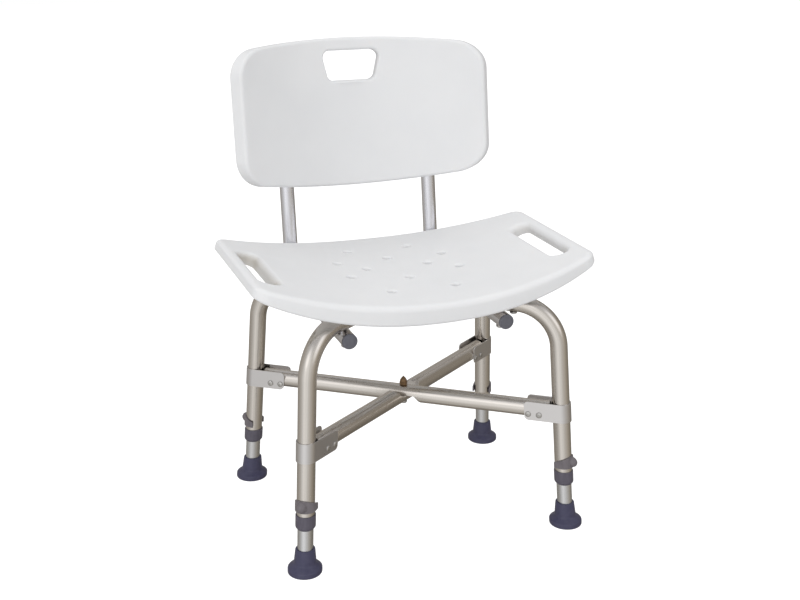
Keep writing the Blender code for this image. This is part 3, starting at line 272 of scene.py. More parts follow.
# The two corners that each leg frame and brace bar joins, and 1 where it is pressed from below or -1 where
# it is pressed from above
LEG_FRAMES = {"upper": ("fr", "bl", 1), "lower": ("fl", "br", -1)}
BRACE_BARS = {"upper": ("bl", "fr", 1), "lower": ("fl", "br", -1)}

# The body and the material slot of each node
BODIES = frame["record"]["behaviour"]["bodies"]
JOINTS = frame["record"]["behaviour"]["joints"]
BODY_OF = {node: body for body, nodes in BODIES.items() for node in nodes}
SLOT_OF = {row["node"]: row["material_slot"] for row in frame["record"]["subparts"]}

# Drawn metals: two colours, the least roughness, and how much the streaks and clouds add to it
METALS = {
    "anodised_aluminium": ((0.765, 0.725, 0.676), (0.700, 0.660, 0.612), 0.17, 0.06),
    "bright_aluminium": ((0.84, 0.84, 0.88), (0.805, 0.805, 0.845), 0.19, 0.03),
    "bare_tube": ((0.76, 0.765, 0.775), (0.70, 0.705, 0.715), 0.18, 0.06),
    "pressed_strap": ((0.76, 0.745, 0.740), (0.69, 0.675, 0.670), 0.24, 0.06),
}

# Their streaks, clouds and hairline scratches: scale, detail and, in the streaks, roughness; between which
# values streaks mix the colours, how fast they change along a tube, and how deep streaks and scratches are
STREAKS = (7.0, 6.0, 0.65)
METAL_CLOUDS = (22.0, 3.0)
SCRATCHES = (900.0, 2.0)
STREAK_SPAN = (0.25, 0.75)
STREAK_STRETCH = 0.22
STREAK_DEPTH = 0.000005

# Specks in the other small parts: their scale, detail and roughness, the depth of their bumps, and their
# scale along Z where they are drawn out; the scale and depth of a finer grain, and its detail in all plastics
GRAIN_DETAIL = 2.0
RUBBER = {"specks": (120.0, 5.0, 0.7), "depth": 0.00008, "grain": (1400.0, 0.00004)}
MOULDED = {"specks": (210.0, 4.0, 0.55), "drawn": 0.3, "grain": (1600.0, 0.00003)}
PLATED = {"specks": (420.0, 5.0, 0.7), "depth": 0.00003, "metallic": 1.0}

# The small parts' kinds, two colours and two roughnesses
SMALL_PARTS = {
    "blue_grey_rubber": (RUBBER, (0.042, 0.041, 0.088), (0.058, 0.056, 0.106), 0.30, 0.48),
    "purple_grey_plastic": (MOULDED, (0.108, 0.098, 0.128), (0.086, 0.078, 0.104), 0.32, 0.46),
    "clip_plastic": (MOULDED, (0.172, 0.155, 0.168), (0.140, 0.125, 0.137), 0.34, 0.48),
    "grey_plastic": (MOULDED, (0.150, 0.152, 0.180), (0.125, 0.127, 0.152), 0.38, 0.52),
    "plated_steel": (PLATED, (0.64, 0.63, 0.61), (0.50, 0.49, 0.47), 0.26, 0.44),
    "brown_brass": (PLATED, (0.30, 0.20, 0.11), (0.17, 0.105, 0.06), 0.30, 0.48),
}

# White plastic: two whites, two roughnesses and how light goes through it; the scale and detail of the
# clouds between the whites, of slow waves and of the grain, the depths of the last two, and the gloss's scale
WHITES = ((0.812, 0.815, 0.823), (0.780, 0.785, 0.796))
WHITE_ROUGHNESS = (0.44, 0.58)
WHITE_BODY = {
    "IOR": 1.49,
    "Subsurface Weight": 0.25,
    "Subsurface Radius": (1.0, 0.95, 0.9),
    "Subsurface Scale": 0.004,
}
WHITE_CLOUDS = (9.0, 3.0)
WAVES = (26.0, 2.0)
WAVE_DEPTH = 0.00045
GRAIN = (1100.0, GRAIN_DETAIL)
GRAIN_DEPTH = 0.000035
GLOSS_SCALE = 38.0

# Painted shade on the hand slots' walls, warm and darkest in the left slot: how far off the wall across may
# be, how open a place stays unshaded, where along the seat the slots begin, the right slot's share, the tint
PAINTED_SHADE_SAMPLES = 6
PAINTED_SHADE_REACH = 0.035
PAINTED_SHADE_OPENNESS = (0.48, 0.93)
PAINTED_SHADE_START = (0.175, 0.195)
PAINTED_SHADE_RIGHT_SHARE = 0.3
PAINTED_SHADE_TINT = (0.34, 0.275, 0.17)

# Camera
CAMERA_PLACE = Vector((-0.59649, -1.64999, 0.91454))
CAMERA_RIGHT = Vector((0.93878, -0.34451, 0.00302))
CAMERA_UP = Vector((0.10962, 0.30702, 0.94537))
CAMERA_LENS = 55.58
SENSOR_WIDTH = 36.0

# The floor, as low as the extended feet reach so that it hides none: its height, half its size, its white
# and its glow to the camera
FLOOR_HEIGHT = min(joint["axis"][2] * joint["range_m"][1] for joint in JOINTS) - GAP
FLOOR_HALF = 9.0
FLOOR_WHITE = (0.68, 0.68, 0.68)
FLOOR_GLOW = 0.60

# Lamps: place, width and power, all aimed at one point
LAMPS = {"key": ((-2.6, -1.5, 1.4), 2.4, 12.0), "front": ((-0.7, -2.8, 1.2), 2.4, 9.0)}
LAMP_TARGET = Vector((0.0, 0.0, 0.4))

# What metal shows below the horizon: its tint straight down, which fades to none at a slope
BELOW_TINT = (0.66, 0.645, 0.62)
BELOW_REACH = (-0.62, -0.24)

# The studio's horizon, from behind the bench round its left, the camera's side and its right to behind again,
# and overhead from level to straight up: places, brightnesses and shares of a tint
HORIZON_STOPS = (
    (0.0, 0.36, 0.6), (0.12, 0.36, 0.6), (0.21, 0.42, 0.5), (0.30, 0.54, 0.2), (0.37, 0.76, 0.0),
    (0.43, 1.0, 0.0), (0.50, 0.86, 0.0), (0.57, 0.66, 0.2), (0.65, 0.52, 0.6), (0.72, 0.40, 1.0),
    (0.80, 0.27, 1.0), (0.90, 0.26, 0.8), (1.0, 0.36, 0.6),
)
HORIZON_TINT = (1.0, 0.91, 0.78)
OVERHEAD_STOPS = ((0.0, 0.50, 0.4), (0.75, 0.56, 0.4), (1.0, 0.46, 0.4))
OVERHEAD_TINT = (0.96, 0.97, 1.05)
OVERHEAD_BLEND = (0.40, 0.80)

# Soft windows that metal shows: directions, colours, and the angles in degrees between which they fade in
WINDOWS = (
    ((-0.63, -0.55, 0.545), (0.42, 0.42, 0.43), 26.0, 9.0),
    ((0.57, -0.69, 0.45), (0.66, 0.68, 0.73), 26.0, 8.0),
)
WORLD_LIGHT = 0.40
WORLD_TILT = (-0.10, -0.19, 0.82)
WHITE = (1.0, 1.0, 1.0)


# Node trees and materials


class Nodes:
    """A short way to write a node tree: adding a node gives one of its outputs."""

    def __init__(self, owner):
        owner.use_nodes = True
        self.tree = owner.node_tree

    def add(self, kind, inputs=(), output=0, **settings):
        """Add a node with its settings and inputs."""
        node = self.tree.nodes.new("ShaderNode" + kind)
        for name, value in settings.items():
            setattr(node, name, value)
        self.feed(node, inputs)
        return node.outputs[output]

    def feed(self, node, inputs):
        """Link or set a node's inputs, which are named or in order."""
        for key, value in inputs.items() if isinstance(inputs, dict) else enumerate(inputs):
            socket = node.inputs[key]
            if isinstance(value, bpy.types.NodeSocket):
                self.tree.links.new(value, socket)
            else:
                socket.default_value = (*value, 1.0) if socket.type == "RGBA" else value

    def show(self, kind, shader):
        """Send a shader to a new output, the tree's only one."""
        output = self.tree.nodes.new("ShaderNodeOutput" + kind)
        self.feed(output, {"Surface": shader})

    def parts(self, vector):
        """The outputs X, Y and Z of a vector."""
        return self.add("SeparateXYZ", [vector]).node.outputs

    def maths(self, operation, *numbers):
        """What a math node makes of one or two numbers."""
        return self.add("Math", numbers, operation=operation)

    def vectors(self, operation, *vectors):
        """What a vector math node makes of two vectors."""
        return self.add("VectorMath", vectors, operation=operation)

    def dot(self, vector, way):
        """How far a vector goes in a direction."""
        return self.add("VectorMath", (vector, way), "Value", operation="DOT_PRODUCT")

    def noise(self, vector, scale, detail=4.0, roughness=0.55):
        """A noise texture's value."""
        inputs = {"Vector": vector, "Scale": scale, "Detail": detail, "Roughness": roughness}
        return self.add("TexNoise", inputs, "Fac")

    def ramp(self, value, low, high, start=0.3, stop=0.7):
        """Map a value between start and stop to a number between low and high."""
        return self.add("MapRange", (value, start, stop, low, high))

    def mix(self, factor, first, second):
        """Mix two colours by a value."""
        return self.add("Mix", {0: factor, 6: first, 7: second}, 2, data_type="RGBA")

    def colour_ramp(self, value, stops, tint):
        """A smooth ramp from (place, brightness, share of the tint) stops."""
        colour = self.add("ValToRGB", [value], "Color")
        band = colour.node.color_ramp
        band.interpolation = "EASE"
        while len(band.elements) < len(stops):
            band.elements.new(0.5)
        for element, (position, brightness, share) in zip(band.elements, stops):
            element.position = position
            element.color = (*(brightness * (1.0 + share * (part - 1.0)) for part in tint), 1.0)
        return colour


class Look(Nodes):
    """A material's node tree, with the piece's own coordinates at hand."""

    def __init__(self, name):
        self.material = bpy.data.materials.new(name + "_look")
        super().__init__(self.material)
        self.place = self.add("TexCoord", output="Object")

    def round_tube(self, stretch):
        """Coordinates that run round a tube without a seam, and are stretched along it."""
        parts = self.parts(self.add("TexCoord", output="UV"))
        turn = self.maths("MULTIPLY", parts["X"], 2.0 * math.pi)
        waves = [self.maths(operation, turn) for operation in ("COSINE", "SINE")]
        return self.add("CombineXYZ", (*waves, self.maths("MULTIPLY", parts["Y"], stretch)))

    def bump(self, *heights):
        """Join bumps, each a (value, distance in metres) pair, one on the other."""
        normal = None
        for value, distance in heights:
            inputs = {"Strength": 1.0, "Distance": distance, "Height": value}
            if normal:
                inputs["Normal"] = normal
            normal = self.add("Bump", inputs)
        return normal

    def shade(self, inputs):
        """Feed the material's shader and give the material."""
        self.feed(self.tree.nodes["Principled BSDF"], inputs)
        return self.material


def white_plastic():
    """White moulded plastic: a fine pebbled grain, slow waves in the gloss, a slightly uneven white and
    painted shade in the hand slots.
    """
    nodes = Look("white_plastic")
    place = nodes.place
    white = nodes.mix(nodes.ramp(nodes.noise(place, *WHITE_CLOUDS), 0.0, 1.0), *WHITES)
    # Painted shade: the white turns a warm dark tint where ambient occlusion finds the hand slots' walls
    # enclosed
    hollow = nodes.add("AmbientOcclusion", {"Distance": PAINTED_SHADE_REACH}, "AO", samples=PAINTED_SHADE_SAMPLES)
    near, far = PAINTED_SHADE_START
    across = nodes.parts(place)["X"]
    left = nodes.ramp(across, 1.0, 0.0, -far, -near)
    right = nodes.ramp(across, 0.0, PAINTED_SHADE_RIGHT_SHARE, near, far)
    depth = nodes.ramp(hollow, 1.0, 0.0, *PAINTED_SHADE_OPENNESS)
    # Share of painted shade: enclosed places near the slots, fully at the left slot and partly at the right
    painted_shade = nodes.maths("MULTIPLY", depth, nodes.maths("ADD", left, right))
    waves = nodes.noise(place, *WAVES)
    grain = nodes.noise(place, *GRAIN)
    return nodes.shade({
        "Base Color": nodes.mix(painted_shade, white, PAINTED_SHADE_TINT),
        "Roughness": nodes.ramp(nodes.noise(place, GLOSS_SCALE), *WHITE_ROUGHNESS),
        "Normal": nodes.bump((waves, WAVE_DEPTH), (grain, GRAIN_DEPTH)),
        **WHITE_BODY,
    })


def drawn_metal(name, light, dark, rough, gloss):
    """Drawn tube: streaks along the tube, cloudy gloss and hairline scratches."""
    nodes = Look(name)
    streaks = nodes.noise(nodes.round_tube(STREAK_STRETCH), *STREAKS)
    clouds = nodes.noise(nodes.place, *METAL_CLOUDS)
    scratches = nodes.noise(nodes.place, *SCRATCHES)
    shine = nodes.maths("ADD", nodes.ramp(streaks, 0.0, gloss), nodes.ramp(clouds, rough, rough + gloss))
    return nodes.shade({
        "Base Color": nodes.mix(nodes.ramp(streaks, 0.0, 1.0, *STREAK_SPAN), light, dark),
        "Metallic": 1.0,
        "Roughness": shine,
        "Normal": nodes.bump((streaks, STREAK_DEPTH), (scratches, STREAK_DEPTH)),
    })


def speckled(name, kind, light, dark, rough, rougher):
    """Rubber, moulded plastic or plating: specks in colour and gloss, and a fine grain."""
    nodes = Look(name)
    stretch = (1.0, 1.0, kind.get("drawn", 1.0))
    place = nodes.add("Mapping", {"Vector": nodes.place, "Scale": stretch})
    specks = nodes.noise(place, *kind["specks"])
    bumps = []
    if "grain" in kind:
        scale, depth = kind["grain"]
        bumps.append((nodes.noise(nodes.place, scale, GRAIN_DETAIL), depth))
    if "depth" in kind:
        bumps.append((specks, kind["depth"]))
    return nodes.shade({
        "Base Color": nodes.mix(nodes.ramp(specks, 0.0, 1.0), light, dark),
        "Metallic": kind.get("metallic", 0.0),
        "Roughness": nodes.ramp(specks, rough, rougher),
        "Normal": nodes.bump(*bumps),
    })


LOOKS = {"white_plastic": white_plastic()}
LOOKS.update((name, drawn_metal(name, *settings)) for name, settings in METALS.items())
LOOKS.update((name, speckled(name, *settings)) for name, settings in SMALL_PARTS.items())


# Meshes


def link_object(name, data):
    """Put a new object into the scene."""
    item = bpy.data.objects.new(name, data)
    bpy.context.scene.collection.objects.link(item)
    return item


def finish_mesh(bm):
    """Turn a closed bmesh into a mesh with its faces pointing out."""
    bmesh.ops.recalc_face_normals(bm, faces=bm.faces)
    mesh = bpy.data.meshes.new("shape")
    bm.to_mesh(mesh)
    bm.free()
    return mesh


def add_piece(node, mesh, place=SHIFT, turn=0.0, bevel=0.0, look=None):
    """Show a mesh in place of a node, on that node's body and in its material or a finish of its own."""
    mesh = mesh.copy()
    mesh.name = node
    mesh.transform(Matrix.Translation(place) @ Matrix.Rotation(turn, 4, "Z"))
    mesh.materials.append(LOOKS[look or SLOT_OF[node]])
    mesh.shade_smooth()
    mesh.set_sharp_from_angle(angle=SMOOTH_ANGLE)
    piece = link_object(node + "_detail", mesh)
    if bevel:
        rounding = piece.modifiers.new("rounding", "BEVEL")
        rounding.width = bevel
        rounding.segments = BEVEL_STEPS
        rounding.limit_method = "ANGLE"
        rounding.angle_limit = SMOOTH_ANGLE
    piece.modifiers.new("normals", "WEIGHTED_NORMAL").keep_sharp = True
    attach(piece, BODY_OF[node])
    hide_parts(node)


def combine(base, tool, operation="DIFFERENCE"):
    """The difference, union or overlap of two closed shapes, meshes or bmeshes, as one mesh."""
    objects = []
    for shape in (base, tool):
        mesh = finish_mesh(shape) if isinstance(shape, bmesh.types.BMesh) else shape
        objects.append(link_object("shape", mesh))
    modifier = objects[0].modifiers.new("combine", "BOOLEAN")
    modifier.solver = "EXACT"
    modifier.operation = operation
    modifier.object = objects[1]
    graph = bpy.context.evaluated_depsgraph_get()
    made = bpy.data.meshes.new_from_object(objects[0].evaluated_get(graph))
    for item in objects:
        bpy.data.objects.remove(item)
    return made


def circle(sides, shift=0.0):
    """The cosines and sines of even steps round a circle."""
    turns = [2.0 * math.pi * (index + shift) / sides for index in range(sides)]
    return [(math.cos(turn), math.sin(turn)) for turn in turns]


def ring_round(centre, side, other, radius, sides, shift=0.0):
    """Points of a circle in the plane of two directions."""
    return [centre + radius * (c * side + s * other) for c, s in circle(sides, shift)]


def loft(bm, rings, lengths=None):
    """Skin rings of points that have equal counts, and cap the ends.

    With lengths, the last ring joins the first, and a UV map runs round the rings and along the path.
    """
    layer = bm.loops.layers.uv.verify() if lengths else None
    skins = [[bm.verts.new(point) for point in ring] for ring in rings]
    count = len(skins[0])
    for low in range(len(skins) if lengths else len(skins) - 1):
        high = (low + 1) % len(skins)
        for index in range(count):
            after = (index + 1) % count
            corners = (skins[low][index], skins[low][after], skins[high][after], skins[high][index])
            face = bm.faces.new(corners)
            if lengths:
                marks = ((index, low), (index + 1, low), (index + 1, high), (index, high))
                for loop, (around, along) in zip(face.loops, marks):
                    loop[layer].uv = (around / count, lengths[along])
    if not lengths:
        bm.faces.new(skins[0])
        bm.faces.new(skins[-1])


def turned(profile, sides, open_bore=False):
    """A solid turned about Z from (radius, height) points, closed on the axis or round an open bore."""
    if not open_bore:
        profile = [(0.0, profile[0][1]), *profile, (0.0, profile[-1][1])]
    bm = bmesh.new()
    rings = []
    for radius, height in profile:
        points = [(0.0, 0.0)] if radius < TINY else circle(sides)
        rings.append([bm.verts.new((radius * c, radius * s, height)) for c, s in points])
    pairs = list(zip(rings, rings[1:]))
    if open_bore:
        pairs.append((rings[-1], rings[0]))
    for low, high in pairs:
        for index in range(sides):
            after = (index + 1) % sides
            corners = [low[index % len(low)], low[after % len(low)]]
            corners += [high[after % len(high)], high[index % len(high)]]
            bm.faces.new(list(dict.fromkeys(corners)))
    return bm


def arc(centre, radius_x, radius_y, angles, steps=ROUND_STEPS):
    """Points of an elliptical arc between two angles in degrees, ends included."""
    start, stop = angles
    points = []
    for index in range(steps + 1):
        angle = math.radians(start + (stop - start) * index / steps)
        points.append((centre[0] + radius_x * math.cos(angle), centre[1] + radius_y * math.sin(angle)))
    return points


def add_rod(bm, start, end, radius, sides=HOLE_SIDES):
    """Add a capped cylinder from start to end."""
    axis = (end - start).normalized()
    side = axis.orthogonal().normalized()
    loft(bm, [ring_round(centre, side, axis.cross(side), radius, sides) for centre in (start, end)])


def add_hole(bm, centre, reach, radius):
    """Add a rod that leaves a shank its clearance and reaches as far to both sides of a centre."""
    add_rod(bm, centre - reach, centre + reach, radius + HOLE_CLEARANCE)


def lean_mesh(bm):
    """Slide every point along -X by its height times the leg's slope, so level faces stay level."""
    for vertex in bm.verts:
        vertex.co.x -= LEG_SLOPE * vertex.co.z
    return finish_mesh(bm)


def placed_mesh(bm, place, direction):
    """Turn a +Z shape to a direction, move it to a place and make its mesh."""
    rotation = UP.rotation_difference(direction).to_matrix().to_4x4()
    bmesh.ops.transform(bm, matrix=Matrix.Translation(place) @ rotation, verts=bm.verts)
    return finish_mesh(bm)


def at_height(point, height):
    """The place over or under a point at a height."""
    return Vector((point.x, point.y, height))


# Paths and tubes


def rounded_path(corners, radius):
    """Points and directions along straight lines whose corners are rounded with arcs."""
    path = [(corners[0], (corners[1] - corners[0]).normalized())]
    for before, corner, after in zip(corners, corners[1:], corners[2:]):
        way_in = (corner - before).normalized()
        way_out = (after - corner).normalized()
        turn = way_in.angle(way_out)
        if turn < STRAIGHT_TURN:
            path.append((corner, way_in))
            continue
        axis = way_in.cross(way_out).normalized()
        inward = radius * axis.cross(way_in)
        centre = corner - radius * math.tan(turn / 2.0) * way_in + inward
        for index in range(BEND_STEPS + 1):
            rotation = Matrix.Rotation(turn * index / BEND_STEPS, 3, axis)
            path.append((centre - rotation @ inward, rotation @ way_in))
    path.append((corners[-1], (corners[-1] - corners[-2]).normalized()))
    return path


def tube_sides(path):
    """A side vector for each place on the path, without twist and upward in the middle of the path."""
    middle = len(path) // 2
    sides = [None] * len(path)
    direction = path[middle][1]
    start = UP if abs(direction.z) < NEARLY_UPRIGHT else Vector((1.0, 0.0, 0.0))
    sides[middle] = (start - start.project(direction)).normalized()
    for step, stop in ((1, len(path)), (-1, -1)):
        for index in range(middle + step, stop, step):
            turn = path[index - step][1].rotation_difference(path[index][1])
            sides[index] = turn @ sides[index - step]
    return sides


def tube(path, radius, wall, flatten=None):
    """A hollow tube along a path; flatten(point, centre, depth) may press its wall."""
    lengths = [0.0]
    for (before, _), (after, _) in zip(path, path[1:]):
        lengths.append(lengths[-1] + (after - before).length)
    walls = []
    for depth in (0.0, wall):
        rings = []
        for (centre, direction), side in zip(path, tube_sides(path)):
            ring = ring_round(centre, side, direction.cross(side), radius - depth, TUBE_SIDES, 0.5)
            rings.append([flatten(point, centre, depth) for point in ring] if flatten else ring)
        walls.append(rings)
    bm = bmesh.new()
    loft(bm, walls[0] + walls[1][::-1], lengths + lengths[::-1])
    return bm


def leg_point(corner, height):
    """The point of a leg's axis at a height."""
    side_x, side_y = CORNERS[corner]
    return Vector((side_x * (FOOT_X - LEAN_X * height), side_y * (FOOT_Y - LEAN_Y * height), height))


def inward_at(corner, height):
    """The level direction from a leg to the middle of the bench."""
    return -at_height(leg_point(corner, height), 0.0).normalized()


LEG_SLOPE = math.hypot(LEAN_X, LEAN_Y)
LEG_TURNS = {name: math.atan2(side_y * LEAN_Y, side_x * LEAN_X) for name, (side_x, side_y) in CORNERS.items()}
COLLAR_SEAT = COLLAR_BOTTOM + COLLAR_LIP
LEG_TUBE_END = COLLAR_SEAT + GAP + LEG_SLOPE * TUBE_RADIUS
TOP_OF_RUN = RUN_HEIGHT + TUBE_RADIUS + GAP
UNDER_RUN = RUN_HEIGHT - TUBE_RADIUS - GAP
BACK_RUN_HEIGHT = UNDER_RUN - BACK_TUBE_RADIUS


def press_half_length(corner, height, radius):
    """How far from the middle a tube must be flat to let another of its size cross it."""
    inward = inward_at(corner, height)
    crossing = 2.0 * math.atan2(abs(inward.y), abs(inward.x))
    return radius * (1.0 + abs(math.cos(crossing))) / math.sin(crossing) + PRESS_MARGIN


def pressed(height, radius, wall_side, flat_half):
    """A rule that presses one side of a level tube to its axis near the middle of the bench."""
    def rule(point, centre, depth):
        distance = math.hypot(centre.x, centre.y)
        if distance > flat_half + PRESS_RAMP - TINY or abs(centre.z - height) > TINY:
            return point
        share = min(1.0, (flat_half + PRESS_RAMP - distance) / PRESS_RAMP)
        smooth = share * share * (3.0 - 2.0 * share)
        limit = wall_side * height - radius + smooth * (radius + GAP / 2.0) + depth
        return at_height(point, wall_side * max(wall_side * point.z, limit))
    return rule


def press_stops(flat_half):
    """Distances from the middle at which a pressed tube's wall is divided, from far to near."""
    return [flat_half + PRESS_RAMP * (1.0 - index / ROUND_STEPS) for index in range(ROUND_STEPS + 1)]


def run_point(corner, reach):
    """The point of a leg frame's level run at a distance from the middle."""
    inward = inward_at(corner, RUN_HEIGHT)
    return Vector((-inward.x * reach, -inward.y * reach, RUN_HEIGHT))


def crossing_point(corner, past=0.0):
    """Where a leg frame's run passes over a back tube, or a distance past there."""
    return run_point(corner, BACK_TUBE_HALF_SPACING / abs(inward_at(corner, RUN_HEIGHT).x) + past)


def outward_across(corner):
    """Square to a leg's axis, away from the middle of the bench."""
    side_x, side_y = CORNERS[corner]
    level = Vector((side_x * LEAN_X, side_y * LEAN_Y, 0.0)).normalized()
    down = (leg_point(corner, 0.0) - leg_point(corner, 1.0)).normalized()
    return (level - level.project(down)).normalized()


def leg_frame(first, second, wall_side):
    """One bent tube: a leg, the run under the seat, and the leg at the opposite corner."""
    flat_half = press_half_length(first, RUN_HEIGHT, TUBE_RADIUS)

    def half(corner):
        ends = [leg_point(corner, LEG_TUBE_END), leg_point(corner, RUN_HEIGHT)]
        return ends + [run_point(corner, stop) for stop in press_stops(flat_half)]

    path = rounded_path(half(first) + half(second)[::-1], LEG_BEND_RADIUS)
    rule = pressed(RUN_HEIGHT, TUBE_RADIUS, wall_side, flat_half)
    cutter = bmesh.new()
    reach = TUBE_RADIUS + GAP
    add_hole(cutter, run_point(first, 0.0), reach * UP, BOLT_RADIUS)
    for corner in (first, second):
        add_hole(cutter, crossing_point(corner), reach * UP, BOLT_RADIUS)
        add_hole(cutter, crossing_point(corner, BOSS_PAST_BACK_TUBE), reach * UP, SEAT_SCREW_RADIUS)
    for corner in (first, second):
        centre = leg_point(corner, PEG_HEIGHT)
        add_rod(cutter, centre, centre + reach * outward_across(corner), LOCK_HOLE_RADIUS)
    return combine(tube(path, TUBE_RADIUS, TUBE_WALL, rule), cutter)


# Leg extensions, tips, collars and clips, made once for a leg whose foot is at the origin and leans along -X


LOCAL_AXIS = Vector((-LEG_SLOPE, 0.0, 1.0)).normalized()
LOCAL_OUTWARD = Vector((1.0, 0.0, LEG_SLOPE)).normalized()


def local_point(height):
    """A point of the leg's axis in the frame of its own foot."""
    return Vector((-LEG_SLOPE * height, 0.0, height))


def leg_extension():
    """The inner tube, with its row of locking holes on the outer side."""
    start = local_point(TIP_FLOOR + GAP + LEG_SLOPE * EXTENSION_RADIUS)
    path = [(start, LOCAL_AXIS), (start + EXTENSION_LENGTH * LOCAL_AXIS, LOCAL_AXIS)]
    cutter = bmesh.new()
    for index in range(HOLE_COUNT):
        centre = local_point(PEG_HEIGHT) + index * HOLE_PITCH * LOCAL_AXIS
        add_rod(cutter, centre, centre + (EXTENSION_RADIUS + GAP) * LOCAL_OUTWARD, LOCK_HOLE_RADIUS)
    return combine(tube(path, EXTENSION_RADIUS, EXTENSION_WALL), cutter)


def foot_tip():
    """A flared rubber tip with a flat sole, a rounded flange, a soft waist and a socket."""
    bore = EXTENSION_RADIUS + GAP
    sole = TIP_FLANGE_RADIUS - TIP_SOLE_BEVEL
    flange_centre = (TIP_FLANGE_RADIUS - TIP_FLANGE_ROUND, TIP_FLANGE_HEIGHT)
    waist_centre = (TIP_WAIST_RADIUS + TIP_WAIST_FILLET, TIP_WAIST_HEIGHT)
    profile = [(sole, 0.0)]
    profile += arc((sole, TIP_SOLE_BEVEL), TIP_SOLE_BEVEL, TIP_SOLE_BEVEL, TIP_SOLE_ARC)
    profile += arc(flange_centre, TIP_FLANGE_ROUND, TIP_FLANGE_ROUND, TIP_FLANGE_ARC)
    profile += arc(waist_centre, TIP_WAIST_FILLET, TIP_WAIST_FILLET, TIP_WAIST_ARC)
    profile += [
        (TIP_TOP_RADIUS, TIP_HEIGHT - TIP_MOUTH_BEVEL),
        (TIP_TOP_RADIUS - TIP_MOUTH_BEVEL / 3.0, TIP_HEIGHT - TIP_MOUTH_BEVEL / 3.0),
        (TIP_TOP_RADIUS - TIP_MOUTH_BEVEL, TIP_HEIGHT),
        (bore, TIP_HEIGHT),
        (bore, TIP_FLOOR),
    ]
    return lean_mesh(turned(profile, TURNED_SIDES))


def leg_collar():
    """A plastic collar: the leg's tube stands on its lip and the extension slides through it."""
    top = COLLAR_BOTTOM + COLLAR_HEIGHT
    outer_bore = TUBE_RADIUS + GAP
    inner_bore = EXTENSION_RADIUS + GAP
    rim = COLLAR_RADIUS - COLLAR_TAPER
    profile = [
        (inner_bore, COLLAR_BOTTOM),
        (rim - COLLAR_BEVEL, COLLAR_BOTTOM),
        (rim, COLLAR_BOTTOM + COLLAR_BEVEL),
        (COLLAR_RADIUS - COLLAR_BEVEL / 3.0, COLLAR_SEAT - COLLAR_BEVEL),
        (COLLAR_RADIUS, COLLAR_SEAT + COLLAR_BEVEL),
        (COLLAR_RADIUS, top - COLLAR_BEVEL),
        (COLLAR_RADIUS - COLLAR_BEVEL / 2.0, top),
        (outer_bore, top),
        (outer_bore, COLLAR_SEAT),
        (inner_bore, COLLAR_SEAT),
    ]
    return lean_mesh(turned(profile, TURNED_SIDES, open_bore=True))


def strap_outline(radius, length, inward, side):
    """A strap's path round the leg at a radius: one flap, round the outer side, and the other flap."""
    steps = TURNED_SIDES // 2
    turns = [math.pi * index / steps for index in range(steps + 1)]
    bend = [-radius * math.sin(turn) * inward - radius * math.cos(turn) * side for turn in turns]
    return [length * inward - radius * side, *bend, length * inward + radius * side]


def locking_clip():
    """An open ring with a flat underside, a domed thumb tab and a short peg for the leg's hole."""
    inner_radius = TUBE_RADIUS + GAP
    outer_radius = inner_radius + CLIP_WALL
    way = (Vector((-1.0, 0.0, 0.0)), Vector((0.0, 1.0, 0.0)))
    paths = [strap_outline(radius, CLIP_ARM_LENGTH, *way) for radius in (inner_radius, outer_radius)]
    rings = []
    for inner, outer in zip(*paths):
        share = (outer.x + CLIP_ARM_LENGTH) / (CLIP_ARM_LENGTH + outer_radius)
        height = CLIP_ARM_HEIGHT + (CLIP_THUMB_HEIGHT - CLIP_ARM_HEIGHT) * share
        low, high = CLIP_BOTTOM * UP, (CLIP_BOTTOM + height) * UP
        rings.append([inner + low, outer + low, outer + high, inner + high])
    ring = bmesh.new()
    loft(ring, rings)

    tab = bmesh.new()
    bmesh.ops.create_uvsphere(tab, radius=1.0, **CLIP_TAB_DIVISIONS)
    for vertex in tab.verts:
        x, y, z = vertex.co
        vertex.co.x = outer_radius - CLIP_WALL + (CLIP_TAB_REACH + CLIP_WALL) * x
        vertex.co.y = CLIP_TAB_WIDTH / 2.0 * y
        vertex.co.z = CLIP_BOTTOM + CLIP_THUMB_HEIGHT / 2.0 + CLIP_TAB_HEIGHT / 2.0 * z
    core = bmesh.new()
    middle_radius = inner_radius + CLIP_WALL / 2.0
    low = local_point(CLIP_BOTTOM - CLIP_THUMB_HEIGHT)
    high = local_point(CLIP_BOTTOM + 2.0 * CLIP_THUMB_HEIGHT)
    add_rod(core, low, high, middle_radius, CORE_SIDES)
    clip = combine(lean_mesh(ring), combine(lean_mesh(tab), core), "UNION")

    peg = bmesh.new()
    centre = local_point(PEG_HEIGHT)
    reaches = (EXTENSION_RADIUS + GAP, middle_radius)
    add_rod(peg, *(centre + reach * LOCAL_OUTWARD for reach in reaches), PEG_RADIUS)
    return combine(clip, peg, "UNION")


# Brace bars, brackets and rivets


def across(corner):
    """Level, square to a brace bar, at a corner."""
    return UP.cross(inward_at(corner, BAR_HEIGHT))


def bar_place(corner, reach, drop=0.0):
    """A point at a distance from a leg's axis along a bar, on the bar's axis or below it."""
    return leg_point(corner, BAR_HEIGHT) + reach * inward_at(corner, BAR_HEIGHT) - drop * UP


def add_rivet_holes(bm, corner, reach):
    """Add the rods for a corner's two rivets."""
    for rivet_reach in RIVET_REACHES:
        add_hole(bm, bar_place(corner, rivet_reach, RIVET_DROP), reach * across(corner), RIVET_RADIUS)


